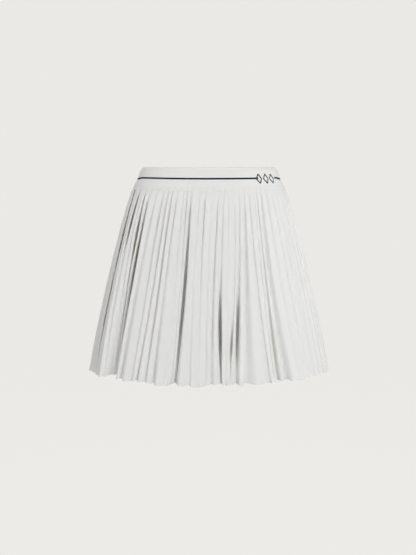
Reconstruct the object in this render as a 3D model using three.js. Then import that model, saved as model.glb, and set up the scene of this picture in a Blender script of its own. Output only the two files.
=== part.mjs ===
// A pleated tennis skort in its worn shape, with no wearer: an elastic waistband, a fan-pleated
// skirt of a front and a back panel, and a fitted pair of shorts of two legs hanging inside it.
// Millimetres, +Z up, front towards -Y. The origin is the middle of the waistband, half way up it.
import * as THREE from "three";

// ---- Driving sizes ----
const SEAM_GAP = 0.3; // between two sewn pieces
const BAND_HEIGHT = 39.3;
const BAND_WALL = 2.0; // two layers of knit over elastic
const SKIRT_LENGTH = 325; // from the waistband's foot to the hem
const SKIRT_WALL = 1.1;
const PLEATS = 38; // in each panel
const SHORTS_WALL = 1.1;
const RISE_START = -151; // where the crotch curve begins
const CROTCH = -246;

const BAND_TOP = BAND_HEIGHT / 2;
const BAND_FOOT = -BAND_HEIGHT / 2;
const SKIRT_TOP = BAND_FOOT - SEAM_GAP;

// The garment's outer line at each height: half its width, and how far it stands to the front
// and to the back of the middle. The waist is 696 mm round here and the hem 1210 mm.
const OUTLINE = [
  { z: 19.65, halfWidth: 118, front: 86, back: 88 },
  { z: 14, halfWidth: 122.4, front: 88, back: 90 },
  { z: -1, halfWidth: 128, front: 91.5, back: 93.5 },
  { z: -19.65, halfWidth: 137, front: 97, back: 101 },
  { z: -54, halfWidth: 148.8, front: 107, back: 116 },
  { z: -119, halfWidth: 166.9, front: 122, back: 138 },
  { z: -184, halfWidth: 183.2, front: 133, back: 153 },
  { z: -270, halfWidth: 202.6, front: 147, back: 167 },
  { z: -346, halfWidth: 217.3, front: 158, back: 178 },
];

// The shorts' outer line, on a general figure with hips 870 mm round. Below the crotch the half
// width is the outside of one leg. Its first row is behind the waistband and its last is the hem.
const SHORTS_LINE = [
  { z: -10, halfWidth: 128.2, front: 91, back: 93.8 },
  { z: -23, halfWidth: 131, front: 92.5, back: 96.5 },
  { z: -61, halfWidth: 137, front: 96, back: 105 },
  { z: -119, halfWidth: 149, front: 101, back: 121 },
  { z: -184, halfWidth: 158, front: 105, back: 130 },
  { z: -246, halfWidth: 161, front: 102, back: 118 },
  { z: -319, halfWidth: 160, front: 82, back: 98 },
];
const LEG_HEM = SHORTS_LINE[SHORTS_LINE.length - 1].z;
const LEG_GAP = 5; // from the middle to the inside of a leg, at its hem

// The pleats of the front panel. A valley is counted from the seam on the wearer's right. top, mid
// and hem are its shift along the cloth from even spacing, towards the wearer's left, at the
// waistband, half way down and at the hem. topDeep, midDeep and hemDeep are the depth of its fold
// there, and bulge is how far the ridge after it stands out at the hem. Pleats with no row share
// the values of their neighbours.
const FRONT_FOLDS = [
  { valley: 0, top: 0, mid: 0, hem: 0, topDeep: 2, midDeep: 3.5, hemDeep: 5, bulge: 0 },
  { valley: 2, top: 1, mid: 5, hem: 5, topDeep: 2, midDeep: 4, hemDeep: 5, bulge: -1 },
  { valley: 3, top: 2, mid: 7, hem: 10, topDeep: 4, midDeep: 5, hemDeep: 4, bulge: 1 },
  { valley: 4, top: 3, mid: 7, hem: 17, topDeep: 2.4, midDeep: 1.2, hemDeep: 0.4, bulge: 5 },
  { valley: 5, top: 3, mid: 3, hem: 12, topDeep: 2.2, midDeep: 1, hemDeep: 0.2, bulge: -1 },
  { valley: 6, top: 1, mid: 3, hem: 4, topDeep: 1, midDeep: 0.8, hemDeep: 0.2, bulge: -12 },
  { valley: 7, top: -2, mid: 2.5, hem: 1, topDeep: 2, midDeep: 5, hemDeep: 5, bulge: -13 },
  { valley: 8, top: -2, mid: -2.5, hem: -5, topDeep: 1.2, midDeep: 6, hemDeep: 8, bulge: 0 },
  { valley: 9, top: 3, mid: -2, hem: -9, topDeep: 1.5, midDeep: 3.5, hemDeep: 6, bulge: 2 },
  { valley: 10, top: 8, mid: 6, hem: 0, topDeep: 4, midDeep: 3.4, hemDeep: 3, bulge: -1 },
  { valley: 11, top: 6, mid: 5, hem: -8, topDeep: 6, midDeep: 4.5, hemDeep: 7, bulge: -1 },
  { valley: 12, top: 4, mid: 4, hem: -6, topDeep: 6, midDeep: 6, hemDeep: 5, bulge: 1 },
  { valley: 13, top: 4, mid: 0, hem: -4, topDeep: 5.5, midDeep: 3.6, hemDeep: 5, bulge: 4 },
  { valley: 14, top: 5, mid: 5, hem: 0, topDeep: 5, midDeep: 1.5, hemDeep: 1.2, bulge: 3 },
  { valley: 15, top: 2, mid: 2, hem: -4, topDeep: 6, midDeep: 2, hemDeep: 1.6, bulge: -1 },
  { valley: 16, top: -2, mid: -3, hem: -14, topDeep: 4, midDeep: 5, hemDeep: 6, bulge: 3 },
  { valley: 17, top: 4, mid: -2, hem: -3, topDeep: 4, midDeep: 2, hemDeep: 4, bulge: 5 },
  { valley: 18, top: 4, mid: -2, hem: -4, topDeep: 9, midDeep: 3.5, hemDeep: 1.2, bulge: 5 },
  { valley: 19, top: 5, mid: -3, hem: -6, topDeep: 3, midDeep: 1.6, hemDeep: 1, bulge: -2 },
  { valley: 20, top: 7, mid: -6, hem: -13, topDeep: 5, midDeep: 5.5, hemDeep: 4.5, bulge: -4 },
  { valley: 21, top: 6, mid: -6, hem: -9.5, topDeep: 5, midDeep: 4, hemDeep: 6, bulge: -1 },
  { valley: 22, top: 4, mid: -8, hem: -18, topDeep: 3, midDeep: 0.8, hemDeep: 0.6, bulge: 0 },
  { valley: 23, top: 3, mid: -9, hem: -29, topDeep: 2, midDeep: 2, hemDeep: 1.5, bulge: -3 },
  { valley: 24, top: 3, mid: -14, hem: -31, topDeep: 2.4, midDeep: 4, hemDeep: 6, bulge: 4 },
  { valley: 25, top: 2, mid: -14, hem: -30, topDeep: 3.4, midDeep: 5, hemDeep: 5, bulge: 2 },
  { valley: 26, top: 1, mid: -7, hem: -1, topDeep: 2.2, midDeep: 3, hemDeep: 4, bulge: 1 },
  { valley: 27, top: 1, mid: -10, hem: -8, topDeep: 1.2, midDeep: 1.2, hemDeep: 1.2, bulge: -1 },
  { valley: 28, top: -4, mid: -16, hem: -15, topDeep: 2.6, midDeep: 5, hemDeep: 7, bulge: -3 },
  { valley: 29, top: -5, mid: -19, hem: -12, topDeep: 2.6, midDeep: 4, hemDeep: 5.5, bulge: 2 },
  { valley: 30, top: -4, mid: -14, hem: -6, topDeep: 3, midDeep: 1.6, hemDeep: 1.6, bulge: 2 },
  { valley: 31, top: -2, mid: -8, hem: -4, topDeep: 1.5, midDeep: 1.8, hemDeep: 2, bulge: 0 },
  { valley: 33, top: 1, mid: -5, hem: -3, topDeep: 1.4, midDeep: 2, hemDeep: 2.6, bulge: -1 },
  { valley: 36, top: 0, mid: -2, hem: 0, topDeep: 1.8, midDeep: 3, hemDeep: 3.6, bulge: 1 },
  { valley: 38, top: 0, mid: 0, hem: 0, topDeep: 1.5, midDeep: 3, hemDeep: 4, bulge: 0 },
];

// Where a valley of the front panel parts into a gap: the share of the skirt's length where it is
// deepest, how far it reaches up and down from there, how much deeper it is and how much its floor
// widens to each side.
const FRONT_GAPS = [
  { valley: 3, at: 0.3, reach: 0.22, deep: 8, open: 4 },
  { valley: 3, at: 0.65, reach: 0.2, deep: 8, open: 4 },
  { valley: 5, at: 0.17, reach: 0.14, deep: 8, open: 2 },
  { valley: 7, at: 0.27, reach: 0.16, deep: 10, open: 2.2 },
  { valley: 8, at: 0.4, reach: 0.2, deep: 9, open: 2 },
  { valley: 8, at: 0.7, reach: 0.2, deep: 5, open: 2 },
  { valley: 16, at: 0.57, reach: 0.34, deep: 13, open: 1.3 },
  { valley: 21, at: 0.72, reach: 0.17, deep: 18, open: 1.1 },
  { valley: 23, at: 0.8, reach: 0.09, deep: 9, open: 0.4 },
  { valley: 24, at: 0.72, reach: 0.15, deep: 15, open: 0.7 },
  { valley: 28, at: 0.85, reach: 0.3, deep: 6, open: 1.2 },
];

// The main folds and gaps of the back panel, counted from the same seam, with the same columns.
const BACK_FOLDS = [
  { valley: 0, top: 0, mid: 0, hem: 0, topDeep: 2, midDeep: 4, hemDeep: 6, bulge: 0 },
  { valley: 2, top: 0, mid: 3, hem: 5, topDeep: 3, midDeep: 6, hemDeep: 8, bulge: 3 },
  { valley: 5, top: 2, mid: 5, hem: 10, topDeep: 2, midDeep: 3, hemDeep: 4, bulge: 4 },
  { valley: 7, top: 1, mid: 7, hem: 8, topDeep: 3, midDeep: 6, hemDeep: 9, bulge: -2 },
  { valley: 8, top: 1, mid: 2, hem: 2, topDeep: 2.6, midDeep: 5, hemDeep: 8, bulge: 2 },
  { valley: 12, top: -2, mid: -4, hem: 3, topDeep: 1.6, midDeep: 3, hemDeep: 3, bulge: 6 },
  { valley: 13, top: -2, mid: -6, hem: -5, topDeep: 3, midDeep: 6, hemDeep: 8, bulge: -3 },
  { valley: 17, top: 1, mid: 4, hem: 6, topDeep: 1.6, midDeep: 3, hemDeep: 3, bulge: 6 },
  { valley: 18, top: 2, mid: 6, hem: 12, topDeep: 2.4, midDeep: 5, hemDeep: 7, bulge: -4 },
  { valley: 19, top: 2, mid: 4, hem: 7, topDeep: 3, midDeep: 6, hemDeep: 8, bulge: -2 },
  { valley: 22, top: 0, mid: -3, hem: -4, topDeep: 1.4, midDeep: 2.4, hemDeep: 3, bulge: 6 },
  { valley: 24, top: -1, mid: -5, hem: -10, topDeep: 3, midDeep: 6, hemDeep: 8, bulge: -2 },
  { valley: 28, top: 1, mid: 2, hem: 7, topDeep: 1.6, midDeep: 3, hemDeep: 4, bulge: 5 },
  { valley: 30, top: 2, mid: 8, hem: 14, topDeep: 3, midDeep: 6, hemDeep: 8, bulge: -3 },
  { valley: 31, top: 1, mid: 3, hem: 8, topDeep: 2.4, midDeep: 5, hemDeep: 8, bulge: 1 },
  { valley: 34, top: 0, mid: 0, hem: 2, topDeep: 1.6, midDeep: 3, hemDeep: 5, bulge: 3 },
  { valley: 36, top: 0, mid: 1, hem: -3, topDeep: 2.4, midDeep: 5, hemDeep: 7, bulge: -1 },
  { valley: 38, top: 0, mid: 0, hem: 0, topDeep: 2, midDeep: 4, hemDeep: 6, bulge: 0 },
];
const BACK_GAPS = [
  { valley: 2, at: 0.45, reach: 0.25, deep: 6, open: 0.6 },
  { valley: 7, at: 0.6, reach: 0.3, deep: 8, open: 0.8 },
  { valley: 13, at: 0.72, reach: 0.22, deep: 11, open: 1.2 },
  { valley: 19, at: 0.6, reach: 0.25, deep: 12, open: 1.2 },
  { valley: 24, at: 0.76, reach: 0.18, deep: 8, open: 0.6 },
  { valley: 30, at: 0.64, reach: 0.28, deep: 11, open: 1 },
];

// One pleat's section
const SEWN = 0.1; // the share of its depth that a fold has where it is sewn into the band
const EMERGE = 0.08; // how soon it opens below that, as a share of the skirt's length
const LEAST_DEEP = 0.2;
const TOP_PROUD = 0.5; // the ridges stand this far out of the band's line where they are sewn in
const RISE = { top: 0.3, hem: 0.42 }; // a pleat's steep side, as a share of both its sides
const RIDGE = 2.2; // the width of its ridge
const VALLEY_HALF = 0.8; // half the width of a valley's floor
const HEM_DROP = 0.3; // a ridge that bulges out hangs lower, by this share of its bulge
const SAG = 4.5; // the hem hangs this much lower in the middle of a panel than at its seams
const SKIRT_LEVELS = [0, 0.05, 0.14, 0.27, 0.42, 0.57, 0.72, 0.86, 1]; // shares of its length

const BAND_COLUMNS = 76;
const BAND_LEVELS = [BAND_TOP, 14, 4, -8, BAND_FOOT];
const SHORTS_COLUMNS = 34;
const ARC_STEPS = 240;

// ---- Curves ----
const { sin, cos, exp, PI, hypot, min, max, sqrt } = Math;
const { lerp, clamp } = THREE.MathUtils;

// A table's column at z, on a smooth curve through its rows.
function tableAt(rows, key, z) {
  const last = rows.length - 1;
  const k = clamp(rows.findIndex((row) => row.z <= z), 1, last);
  const slope = (i) => {
    const [a, b] = [rows[max(i - 1, 0)], rows[min(i + 1, last)]];
    return (b[key] - a[key]) / (b.z - a.z);
  };
  const [p, q] = [rows[k - 1], rows[k]];
  const span = q.z - p.z;
  const t = clamp((z - p.z) / span, 0, 1);
  const rise = t * t * (3 - 2 * t);
  const bend = t * (1 - t) * span;
  return lerp(p[key], q[key], rise) + bend * (slope(k - 1) * (1 - t) - slope(k) * t);
}

// The garment's outer line at height z.
function outlineAt(z) {
  return {
    halfWidth: tableAt(OUTLINE, "halfWidth", z),
    front: tableAt(OUTLINE, "front", z),
    back: tableAt(OUTLINE, "back", z),
  };
}

// Half of that line, from the wearer's right (-X) round the front or the back to their left, as a
// function that gives the point at a length along it, moved out of the line by out.
function halfLine(z, side) {
  const { halfWidth, front, back } = outlineAt(z);
  const depth = side < 0 ? front : back;
  const at = (turn) => [halfWidth * sin(turn), side * depth * cos(turn)];
  const turns = [];
  const lengths = [0];
  for (let i = 0; i <= ARC_STEPS; i++) {
    turns.push(-PI / 2 + (PI * i) / ARC_STEPS);
    if (i === 0) continue;
    const [a, b] = [at(turns[i - 1]), at(turns[i])];
    lengths.push(lengths[i - 1] + hypot(b[0] - a[0], b[1] - a[1]));
  }
  const length = lengths[ARC_STEPS];
  const point = (along, out) => {
    const k = clamp(lengths.findIndex((l) => l >= along), 1, ARC_STEPS);
    const share = (along - lengths[k - 1]) / (lengths[k] - lengths[k - 1]);
    const turn = lerp(turns[k - 1], turns[k], share);
    const [x, y] = at(turn);
    const normal = [depth * sin(turn), side * halfWidth * cos(turn)];
    const scale = out / hypot(...normal);
    return [x + normal[0] * scale, y + normal[1] * scale];
  };
  return { length, point };
}

// A line moved to one side by distance: left of its direction for side -1, right for +1.
function offsetLine(points, distance, side) {
  const normals = points.slice(1).map(([x, y], i) => {
    const [dx, dy] = [x - points[i][0], y - points[i][1]];
    const l = hypot(dx, dy);
    return [(side * dy) / l, (-side * dx) / l];
  });
  return points.map(([x, y], i) => {
    const a = normals[max(i - 1, 0)];
    const b = normals[min(i, normals.length - 1)];
    const grow = distance / (1 + a[0] * b[0] + a[1] * b[1]);
    return [x + (a[0] + b[0]) * grow, y + (a[1] + b[1]) * grow];
  });
}

// ---- Walls ----
// A closed wall between two grids of points, outer and inner, each a list of rows of [x, y, z].
// A ring joins its last column to its first.
function wallGeometry(outer, inner, { ring = false, flip = false } = {}) {
  const rows = outer.length;
  const columns = outer[0].length;
  const positions = [...outer.flat(), ...inner.flat()].flat();
  const index = [];
  const o = (r, c) => r * columns + (c % columns);
  const n = (r, c) => rows * columns + o(r, c);
  const quad = (a, b, c, d) => index.push(...(flip ? [a, c, b, a, d, c] : [a, b, c, a, c, d]));
  const spans = ring ? columns : columns - 1;
  for (let r = 0; r < rows - 1; r++) {
    for (let c = 0; c < spans; c++) {
      quad(o(r, c), o(r + 1, c), o(r + 1, c + 1), o(r, c + 1));
      quad(n(r, c), n(r, c + 1), n(r + 1, c + 1), n(r + 1, c));
    }
    if (!ring) {
      quad(o(r, 0), n(r, 0), n(r + 1, 0), o(r + 1, 0));
      quad(o(r, spans), o(r + 1, spans), n(r + 1, spans), n(r, spans));
    }
  }
  for (let c = 0; c < spans; c++) {
    quad(o(0, c), o(0, c + 1), n(0, c + 1), n(0, c));
    quad(o(rows - 1, c), n(rows - 1, c), n(rows - 1, c + 1), o(rows - 1, c + 1));
  }
  const geometry = new THREE.BufferGeometry();
  geometry.setAttribute("position", new THREE.Float32BufferAttribute(positions, 3));
  geometry.setIndex(index);
  geometry.computeVertexNormals();
  return geometry;
}

// ---- Waistband ----
function waistband() {
  const loop = (z, inset) => {
    const { halfWidth, front, back } = outlineAt(z);
    return Array.from({ length: BAND_COLUMNS }, (_, i) => {
      const turn = (2 * PI * i) / BAND_COLUMNS;
      const depth = cos(turn) > 0 ? front : back;
      return [(halfWidth - inset) * sin(turn), -(depth - inset) * cos(turn), z];
    });
  };
  const outer = BAND_LEVELS.map((z) => loop(z, 0));
  const inner = BAND_LEVELS.map((z) => loop(z, BAND_WALL));
  return wallGeometry(outer, inner, { ring: true });
}

// ---- Pleated panels ----
// Every valley of a panel, with its row's values or, where it has no row, its neighbours'.
function pleatTable(folds) {
  return Array.from({ length: PLEATS + 1 }, (_, valley) => {
    const after = max(folds.findIndex((fold) => fold.valley >= valley), 1);
    const [a, b] = [folds[after - 1], folds[after]];
    const own = [a, b].find((fold) => fold.valley === valley);
    if (own) return own;
    const share = (valley - a.valley) / (b.valley - a.valley);
    const uneven = 1 + 0.2 * sin(2.4 * valley);
    const between = (key) => lerp(a[key], b[key], share);
    return {
      top: between("top"),
      mid: between("mid"),
      hem: between("hem"),
      topDeep: between("topDeep") * uneven,
      midDeep: between("midDeep") * uneven,
      hemDeep: between("hemDeep") * uneven,
      bulge: sin(1.7 * valley),
    };
  });
}

// A smooth value that is top at the waistband, mid half way down and hem at the hem.
function downSkirt(drop, top, mid, hem) {
  return lerp(top, hem, drop) + 4 * drop * (1 - drop) * (mid - (top + hem) / 2);
}

// How much deeper a valley is, and how much wider its floor, where it parts into gaps.
function partedAt(gaps, valley, drop) {
  const rows = gaps.filter((row) => row.valley === valley);
  const share = ({ at, reach }) => exp(-(((drop - at) / reach) ** 2));
  const sum = (key) => rows.reduce((all, row) => all + row[key] * share(row), 0);
  return { deep: sum("deep"), open: sum("open") };
}

// The outer and inner line of a panel at one level of the skirt, from seam to seam.
function pleatLines(pleats, gaps, side, drop) {
  const z = SKIRT_TOP - drop * SKIRT_LENGTH;
  const line = halfLine(z, side);
  const pitch = line.length / PLEATS;
  const proud = TOP_PROUD * (1 - drop) ** 4;
  const rise = lerp(RISE.top, RISE.hem, drop);
  const sewn = 1 - (1 - SEWN) * exp(-drop / EMERGE);
  const valleys = pleats.map((pleat, i) => {
    const gap = partedAt(gaps, i, drop);
    const folded = max(downSkirt(drop, pleat.topDeep, pleat.midDeep, pleat.hemDeep), LEAST_DEEP);
    const bulge = min(pleats[max(i - 1, 0)].bulge, pleat.bulge) * drop ** 2;
    const along = i * pitch + downSkirt(drop, pleat.top, pleat.mid, pleat.hem);
    const half = VALLEY_HALF + gap.open;
    return {
      start: i === 0 ? SEAM_GAP / 2 : along - half,
      end: i === PLEATS ? line.length - SEAM_GAP / 2 : along + half,
      out: proud + bulge - folded * sewn - gap.deep,
    };
  });
  const marks = [];
  valleys.forEach(({ start, end, out }, i) => {
    marks.push([start, out, 0], [end, out, 0]);
    if (i === PLEATS) return;
    const bulge = pleats[i].bulge * drop ** 2;
    const ridge = end + rise * (valleys[i + 1].start - end - RIDGE);
    marks.push([ridge, proud + bulge, HEM_DROP * bulge]);
    marks.push([ridge + RIDGE, proud + bulge, HEM_DROP * bulge]);
  });
  const outer = marks.map(([along, out]) => line.point(along, out));
  const inner = offsetLine(outer, SKIRT_WALL, side);
  const lift = ([x, y], i) => {
    const [along, , lower] = marks[i];
    return [x, y, z - lower - SAG * (drop * sin((PI * along) / line.length)) ** 2];
  };
  return { outer: outer.map(lift), inner: inner.map(lift) };
}

function skirtPanel(folds, gaps, side) {
  const pleats = pleatTable(folds);
  const levels = SKIRT_LEVELS.map((drop) => pleatLines(pleats, gaps, side, drop));
  return wallGeometry(
    levels.map((level) => level.outer),
    levels.map((level) => level.inner),
    { flip: side > 0 },
  );
}

// ---- Shorts ----
// The outer line of the wearer's left leg at height z. It runs from the middle of the front round
// the outside to the middle of the back. Down the crotch curve its two ends come together, and
// below the crotch it is a whole leg, sewn up along its inside.
function legLine(z) {
  const [halfWidth, front, back] = ["halfWidth", "front", "back"].map((key) =>
    tableAt(SHORTS_LINE, key, z),
  );
  const middle = SEAM_GAP / 2;
  const down = clamp((RISE_START - z) / (RISE_START - CROTCH), 0, 1);
  const closed = 1 - sqrt(1 - down * down);
  const inside = lerp(middle, LEG_GAP, clamp((CROTCH - z) / (CROTCH - LEG_HEM), 0, 1));
  const [centreX, radiusX] = [(halfWidth + inside) / 2, (halfWidth - inside) / 2];
  const [centreY, radiusY] = [(back - front) / 2, (back + front) / 2];
  const seamTurn = SEAM_GAP / 2 / radiusY;
  return Array.from({ length: SHORTS_COLUMNS + 1 }, (_, i) => {
    const share = i / SHORTS_COLUMNS;
    const half = PI * share;
    const whole = lerp(seamTurn, 2 * PI - seamTurn, share);
    const depth = share < 0.5 ? front : back;
    const body = [middle + (halfWidth - middle) * sin(half), -depth * cos(half)];
    const leg = [centreX - radiusX * cos(whole), centreY - radiusY * sin(whole)];
    return [lerp(body[0], leg[0], closed), lerp(body[1], leg[1], closed), z];
  });
}

// The same grid moved in by the wall, along each point's own normal.
function innerGrid(grid, wall) {
  const at = (r, c) => new THREE.Vector3(...grid[r][c]);
  return grid.map((row, r) =>
    row.map((point, c) => {
      const down = at(min(r + 1, grid.length - 1), c).sub(at(max(r - 1, 0), c));
      const along = at(r, min(c + 1, row.length - 1)).sub(at(r, max(c - 1, 0)));
      const inward = along.cross(down).normalize().multiplyScalar(wall);
      const moved = at(r, c).add(inward);
      moved.x = max(moved.x, SEAM_GAP / 2);
      return moved.toArray();
    }),
  );
}

function shortsLeg() {
  const rise = [0.45, 0.68, 0.84, 0.94, 0.985].map((down) => lerp(RISE_START, CROTCH, down));
  const levels = [SHORTS_LINE[0].z, -23, -61, -106, RISE_START, ...rise, CROTCH, -263, -291, LEG_HEM];
  const outer = levels.map(legLine);
  return wallGeometry(outer, innerGrid(outer, SHORTS_WALL));
}

// The wearer's right leg is the left one mirrored, with its faces turned to match.
function mirrored(geometry) {
  const copy = geometry.clone().scale(-1, 1, 1);
  const index = copy.index.array;
  for (let i = 0; i < index.length; i += 3) {
    [index[i + 1], index[i + 2]] = [index[i + 2], index[i + 1]];
  }
  copy.computeVertexNormals();
  return copy;
}

// ---- Assembly ----
const cloth = (color, roughness) =>
  new THREE.MeshStandardMaterial({ color, roughness, metalness: 0, side: THREE.DoubleSide });
const bandKnit = cloth(0xeeeeec, 0.75);
const pleatedCloth = cloth(0xf0f0ee, 0.8);
const shortsKnit = cloth(0xececea, 0.7);

const skort = new THREE.Group();
function addPiece(name, geometry, material) {
  const piece = new THREE.Mesh(geometry, material);
  piece.name = name;
  skort.add(piece);
}

const leftLeg = shortsLeg();
addPiece("waistband", waistband(), bandKnit);
addPiece("skirt_front", skirtPanel(FRONT_FOLDS, FRONT_GAPS, -1), pleatedCloth);
addPiece("skirt_back", skirtPanel(BACK_FOLDS, BACK_GAPS, 1), pleatedCloth);
addPiece("shorts_leg_left", leftLeg, shortsKnit);
addPiece("shorts_leg_right", mirrored(leftLeg), shortsKnit);

export default skort;
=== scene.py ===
"""A white pleated tennis skort in its worn shape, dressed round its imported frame.

The garment hangs hollow from its waistband, as if worn: a knit band over elastic with one fine navy
stripe, a fan-pleated skirt of a front and a back panel, and fitted inner shorts of two legs. Sizes
are in millimetres up to the point where a mesh is made, and the frame is in metres.
"""

from __future__ import annotations

import logging
import math
from collections.abc import Sequence
from dataclasses import dataclass, field, fields
from enum import Enum
from typing import NamedTuple

import bpy
import numpy as np
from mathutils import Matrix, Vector

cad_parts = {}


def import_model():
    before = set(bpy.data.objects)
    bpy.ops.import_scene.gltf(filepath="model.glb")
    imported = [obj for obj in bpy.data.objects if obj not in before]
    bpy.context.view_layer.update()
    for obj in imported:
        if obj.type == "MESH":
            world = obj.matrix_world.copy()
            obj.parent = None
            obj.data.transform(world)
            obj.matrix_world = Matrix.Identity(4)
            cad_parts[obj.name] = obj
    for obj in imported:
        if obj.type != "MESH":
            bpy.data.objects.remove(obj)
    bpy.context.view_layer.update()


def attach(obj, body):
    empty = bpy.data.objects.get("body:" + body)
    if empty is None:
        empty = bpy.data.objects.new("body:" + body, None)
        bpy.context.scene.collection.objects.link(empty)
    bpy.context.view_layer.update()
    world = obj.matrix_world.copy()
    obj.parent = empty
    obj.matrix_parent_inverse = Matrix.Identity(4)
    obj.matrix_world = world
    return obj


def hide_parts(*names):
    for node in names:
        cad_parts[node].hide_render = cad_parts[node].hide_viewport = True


log = logging.getLogger("skort")

MM = 0.001
ROOT_BODY = "root"


class Panel(Enum):
    """The half of the garment that a panel covers; the value is the side of the Y axis it is on."""

    FRONT = -1
    BACK = 1


class Leg(Enum):
    """The wearer's leg; the value is the side of the X axis it is on."""

    LEFT = 1
    RIGHT = -1


class Slot(Enum):
    """The record's material slots."""

    BAND = "band_knit"
    PLEATS = "pleated_cloth"
    SHORTS = "shorts_knit"


# ---- Tables of the garment's form, in millimetres ----


@dataclass(frozen=True)
class FormRow:
    """How far an outer line stands from the middle at one height.

    Attributes:
        z: The height.
        half_width: Its reach to each side.
        front: Its reach to the front.
        back: Its reach to the back.
    """

    z: float
    half_width: float
    front: float
    back: float


@dataclass(frozen=True)
class Fold:
    """One valley between two pleats.

    Attributes:
        valley: The valley's number, counted from the seam on the wearer's right.
        top: Its shift along the cloth from even spacing at the waistband, to the wearer's left.
        mid: The same shift half way down.
        hem: The same shift at the hem.
        top_deep: The fold's depth at the waistband.
        mid_deep: Its depth half way down.
        hem_deep: Its depth at the hem.
        bulge: How far the ridge after it stands out at the hem.
    """

    valley: int
    top: float
    mid: float
    hem: float
    top_deep: float
    mid_deep: float
    hem_deep: float
    bulge: float


@dataclass(frozen=True)
class Gap:
    """A stretch where a valley parts into a gap.

    Attributes:
        valley: The valley's number.
        at: The share of the skirt's length where the gap is deepest.
        reach: How far it reaches up and down from there, as such a share.
        deep: How much deeper than its fold the valley is there.
        open: How much wider its floor is there, to each side.
    """

    valley: int
    at: float
    reach: float
    deep: float
    open: float

    def parted(self, drop: float) -> float:
        """Returns how far the gap is parted at a share of the skirt's length, from 0 to 1."""
        return math.exp(-(((drop - self.at) / self.reach) ** 2))


OUTLINE = (
    FormRow(19.65, 118, 86, 88),
    FormRow(14, 122.4, 88, 90),
    FormRow(-1, 128, 91.5, 93.5),
    FormRow(-19.65, 137, 97, 101),
    FormRow(-54, 148.8, 107, 116),
    FormRow(-119, 166.9, 122, 138),
    FormRow(-184, 183.2, 133, 153),
    FormRow(-270, 202.6, 147, 167),
    FormRow(-346, 217.3, 158, 178),
)

SHORTS_LINE = (
    FormRow(-10, 128.2, 91, 93.8),
    FormRow(-23, 131, 92.5, 96.5),
    FormRow(-61, 137, 96, 105),
    FormRow(-119, 149, 101, 121),
    FormRow(-184, 158, 105, 130),
    FormRow(-246, 161, 102, 118),
    FormRow(-319, 160, 82, 98),
)

FRONT_FOLDS = (
    Fold(0, 0, 0, 0, 2, 3, 3, 0),
    Fold(2, 1, 5, 5, 2, 4, 3.6, -1),
    Fold(3, 2, 7, 10, 4, 5, 4, 1),
    Fold(4, 3, 7, 17, 2.4, 1.2, 0.4, 5),
    Fold(5, 3, 3, 12, 2.2, 1, 0.2, -1),
    Fold(6, 1, 3, 4, 3, 0.8, 0.2, -12),
    Fold(7, -2, 2.5, 1, 5, 5, 5, -13),
    Fold(8, -2, -2.5, -5, 5, 6, 8, 0),
    Fold(9, 3, -2, -9, 5.5, 3.5, 6, 2),
    Fold(10, 8, 6, 0, 6.5, 3.4, 3, -1),
    Fold(11, 6, 5, -8, 8, 4.5, 7, -1),
    Fold(12, 4, 4, -6, 8, 6, 5, 1),
    Fold(13, 4, 0, -4, 7, 3.6, 5, 7),
    Fold(14, 5, 5, 0, 5, 0.9, 0.4, 5),
    Fold(15, 2, 2, -4, 6, 1.2, 0.4, -4),
    Fold(16, -2, -3, -14, 5.5, 5, 6, 3),
    Fold(17, 4, -2, -3, 5.5, 2, 4, 5),
    Fold(18, 4, -2, -4, 9, 3.5, 1.2, 5),
    Fold(19, 5, -3, -6, 3, 1.6, 1, -2),
    Fold(20, 7, -6, -13, 5, 5.5, 4.5, -4),
    Fold(21, 6, -6, -9.5, 5, 4, 6, -1),
    Fold(22, 4, -8, -18, 3, 0.8, 0.6, 0),
    Fold(23, 3, -9, -29, 2, 2, 1.5, -3),
    Fold(24, 3, -14, -31, 2.4, 4, 6, 4),
    Fold(25, 2, -14, -30, 3.4, 7.5, 10.5, 2),
    Fold(26, 1, -7, -1, 3.4, 3, 5.5, 1),
    Fold(27, 1, -10, -8, 1.2, 1.2, 1.2, -1),
    Fold(28, -4, -16, -15, 4, 3.6, 7, -3),
    Fold(29, -5, -19, -12, 4, 6.5, 7.5, 2),
    Fold(30, -4, -14, -6, 3, 1.6, 1.6, 2),
    Fold(31, -2, -8, -4, 1.5, 1.8, 2, 0),
    Fold(33, 1, -5, -3, 1.4, 1.6, 1.6, -1),
    Fold(36, 0, -2, 0, 1.8, 2.2, 2, 1),
    Fold(38, 0, 0, 0, 1.5, 2.2, 2.4, 0),
)

FRONT_GAPS = (
    Gap(3, 0.27, 0.2, 12, 4.5),
    Gap(3, 0.65, 0.2, 7, 4),
    Gap(5, 0.16, 0.12, 5.5, 1.6),
    Gap(7, 0.25, 0.14, 10.5, 3.2),
    Gap(7, 0.62, 0.15, 5, 1.2),
    Gap(8, 0.4, 0.2, 12, 2.8),
    Gap(8, 0.7, 0.2, 6, 2.4),
    Gap(16, 0.57, 0.34, 13, 1.3),
    Gap(21, 0.72, 0.17, 18, 1.1),
    Gap(23, 0.8, 0.09, 9, 0.4),
    Gap(24, 0.72, 0.15, 15, 0.7),
    Gap(28, 0.85, 0.24, 6, 1.2),
)

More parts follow.
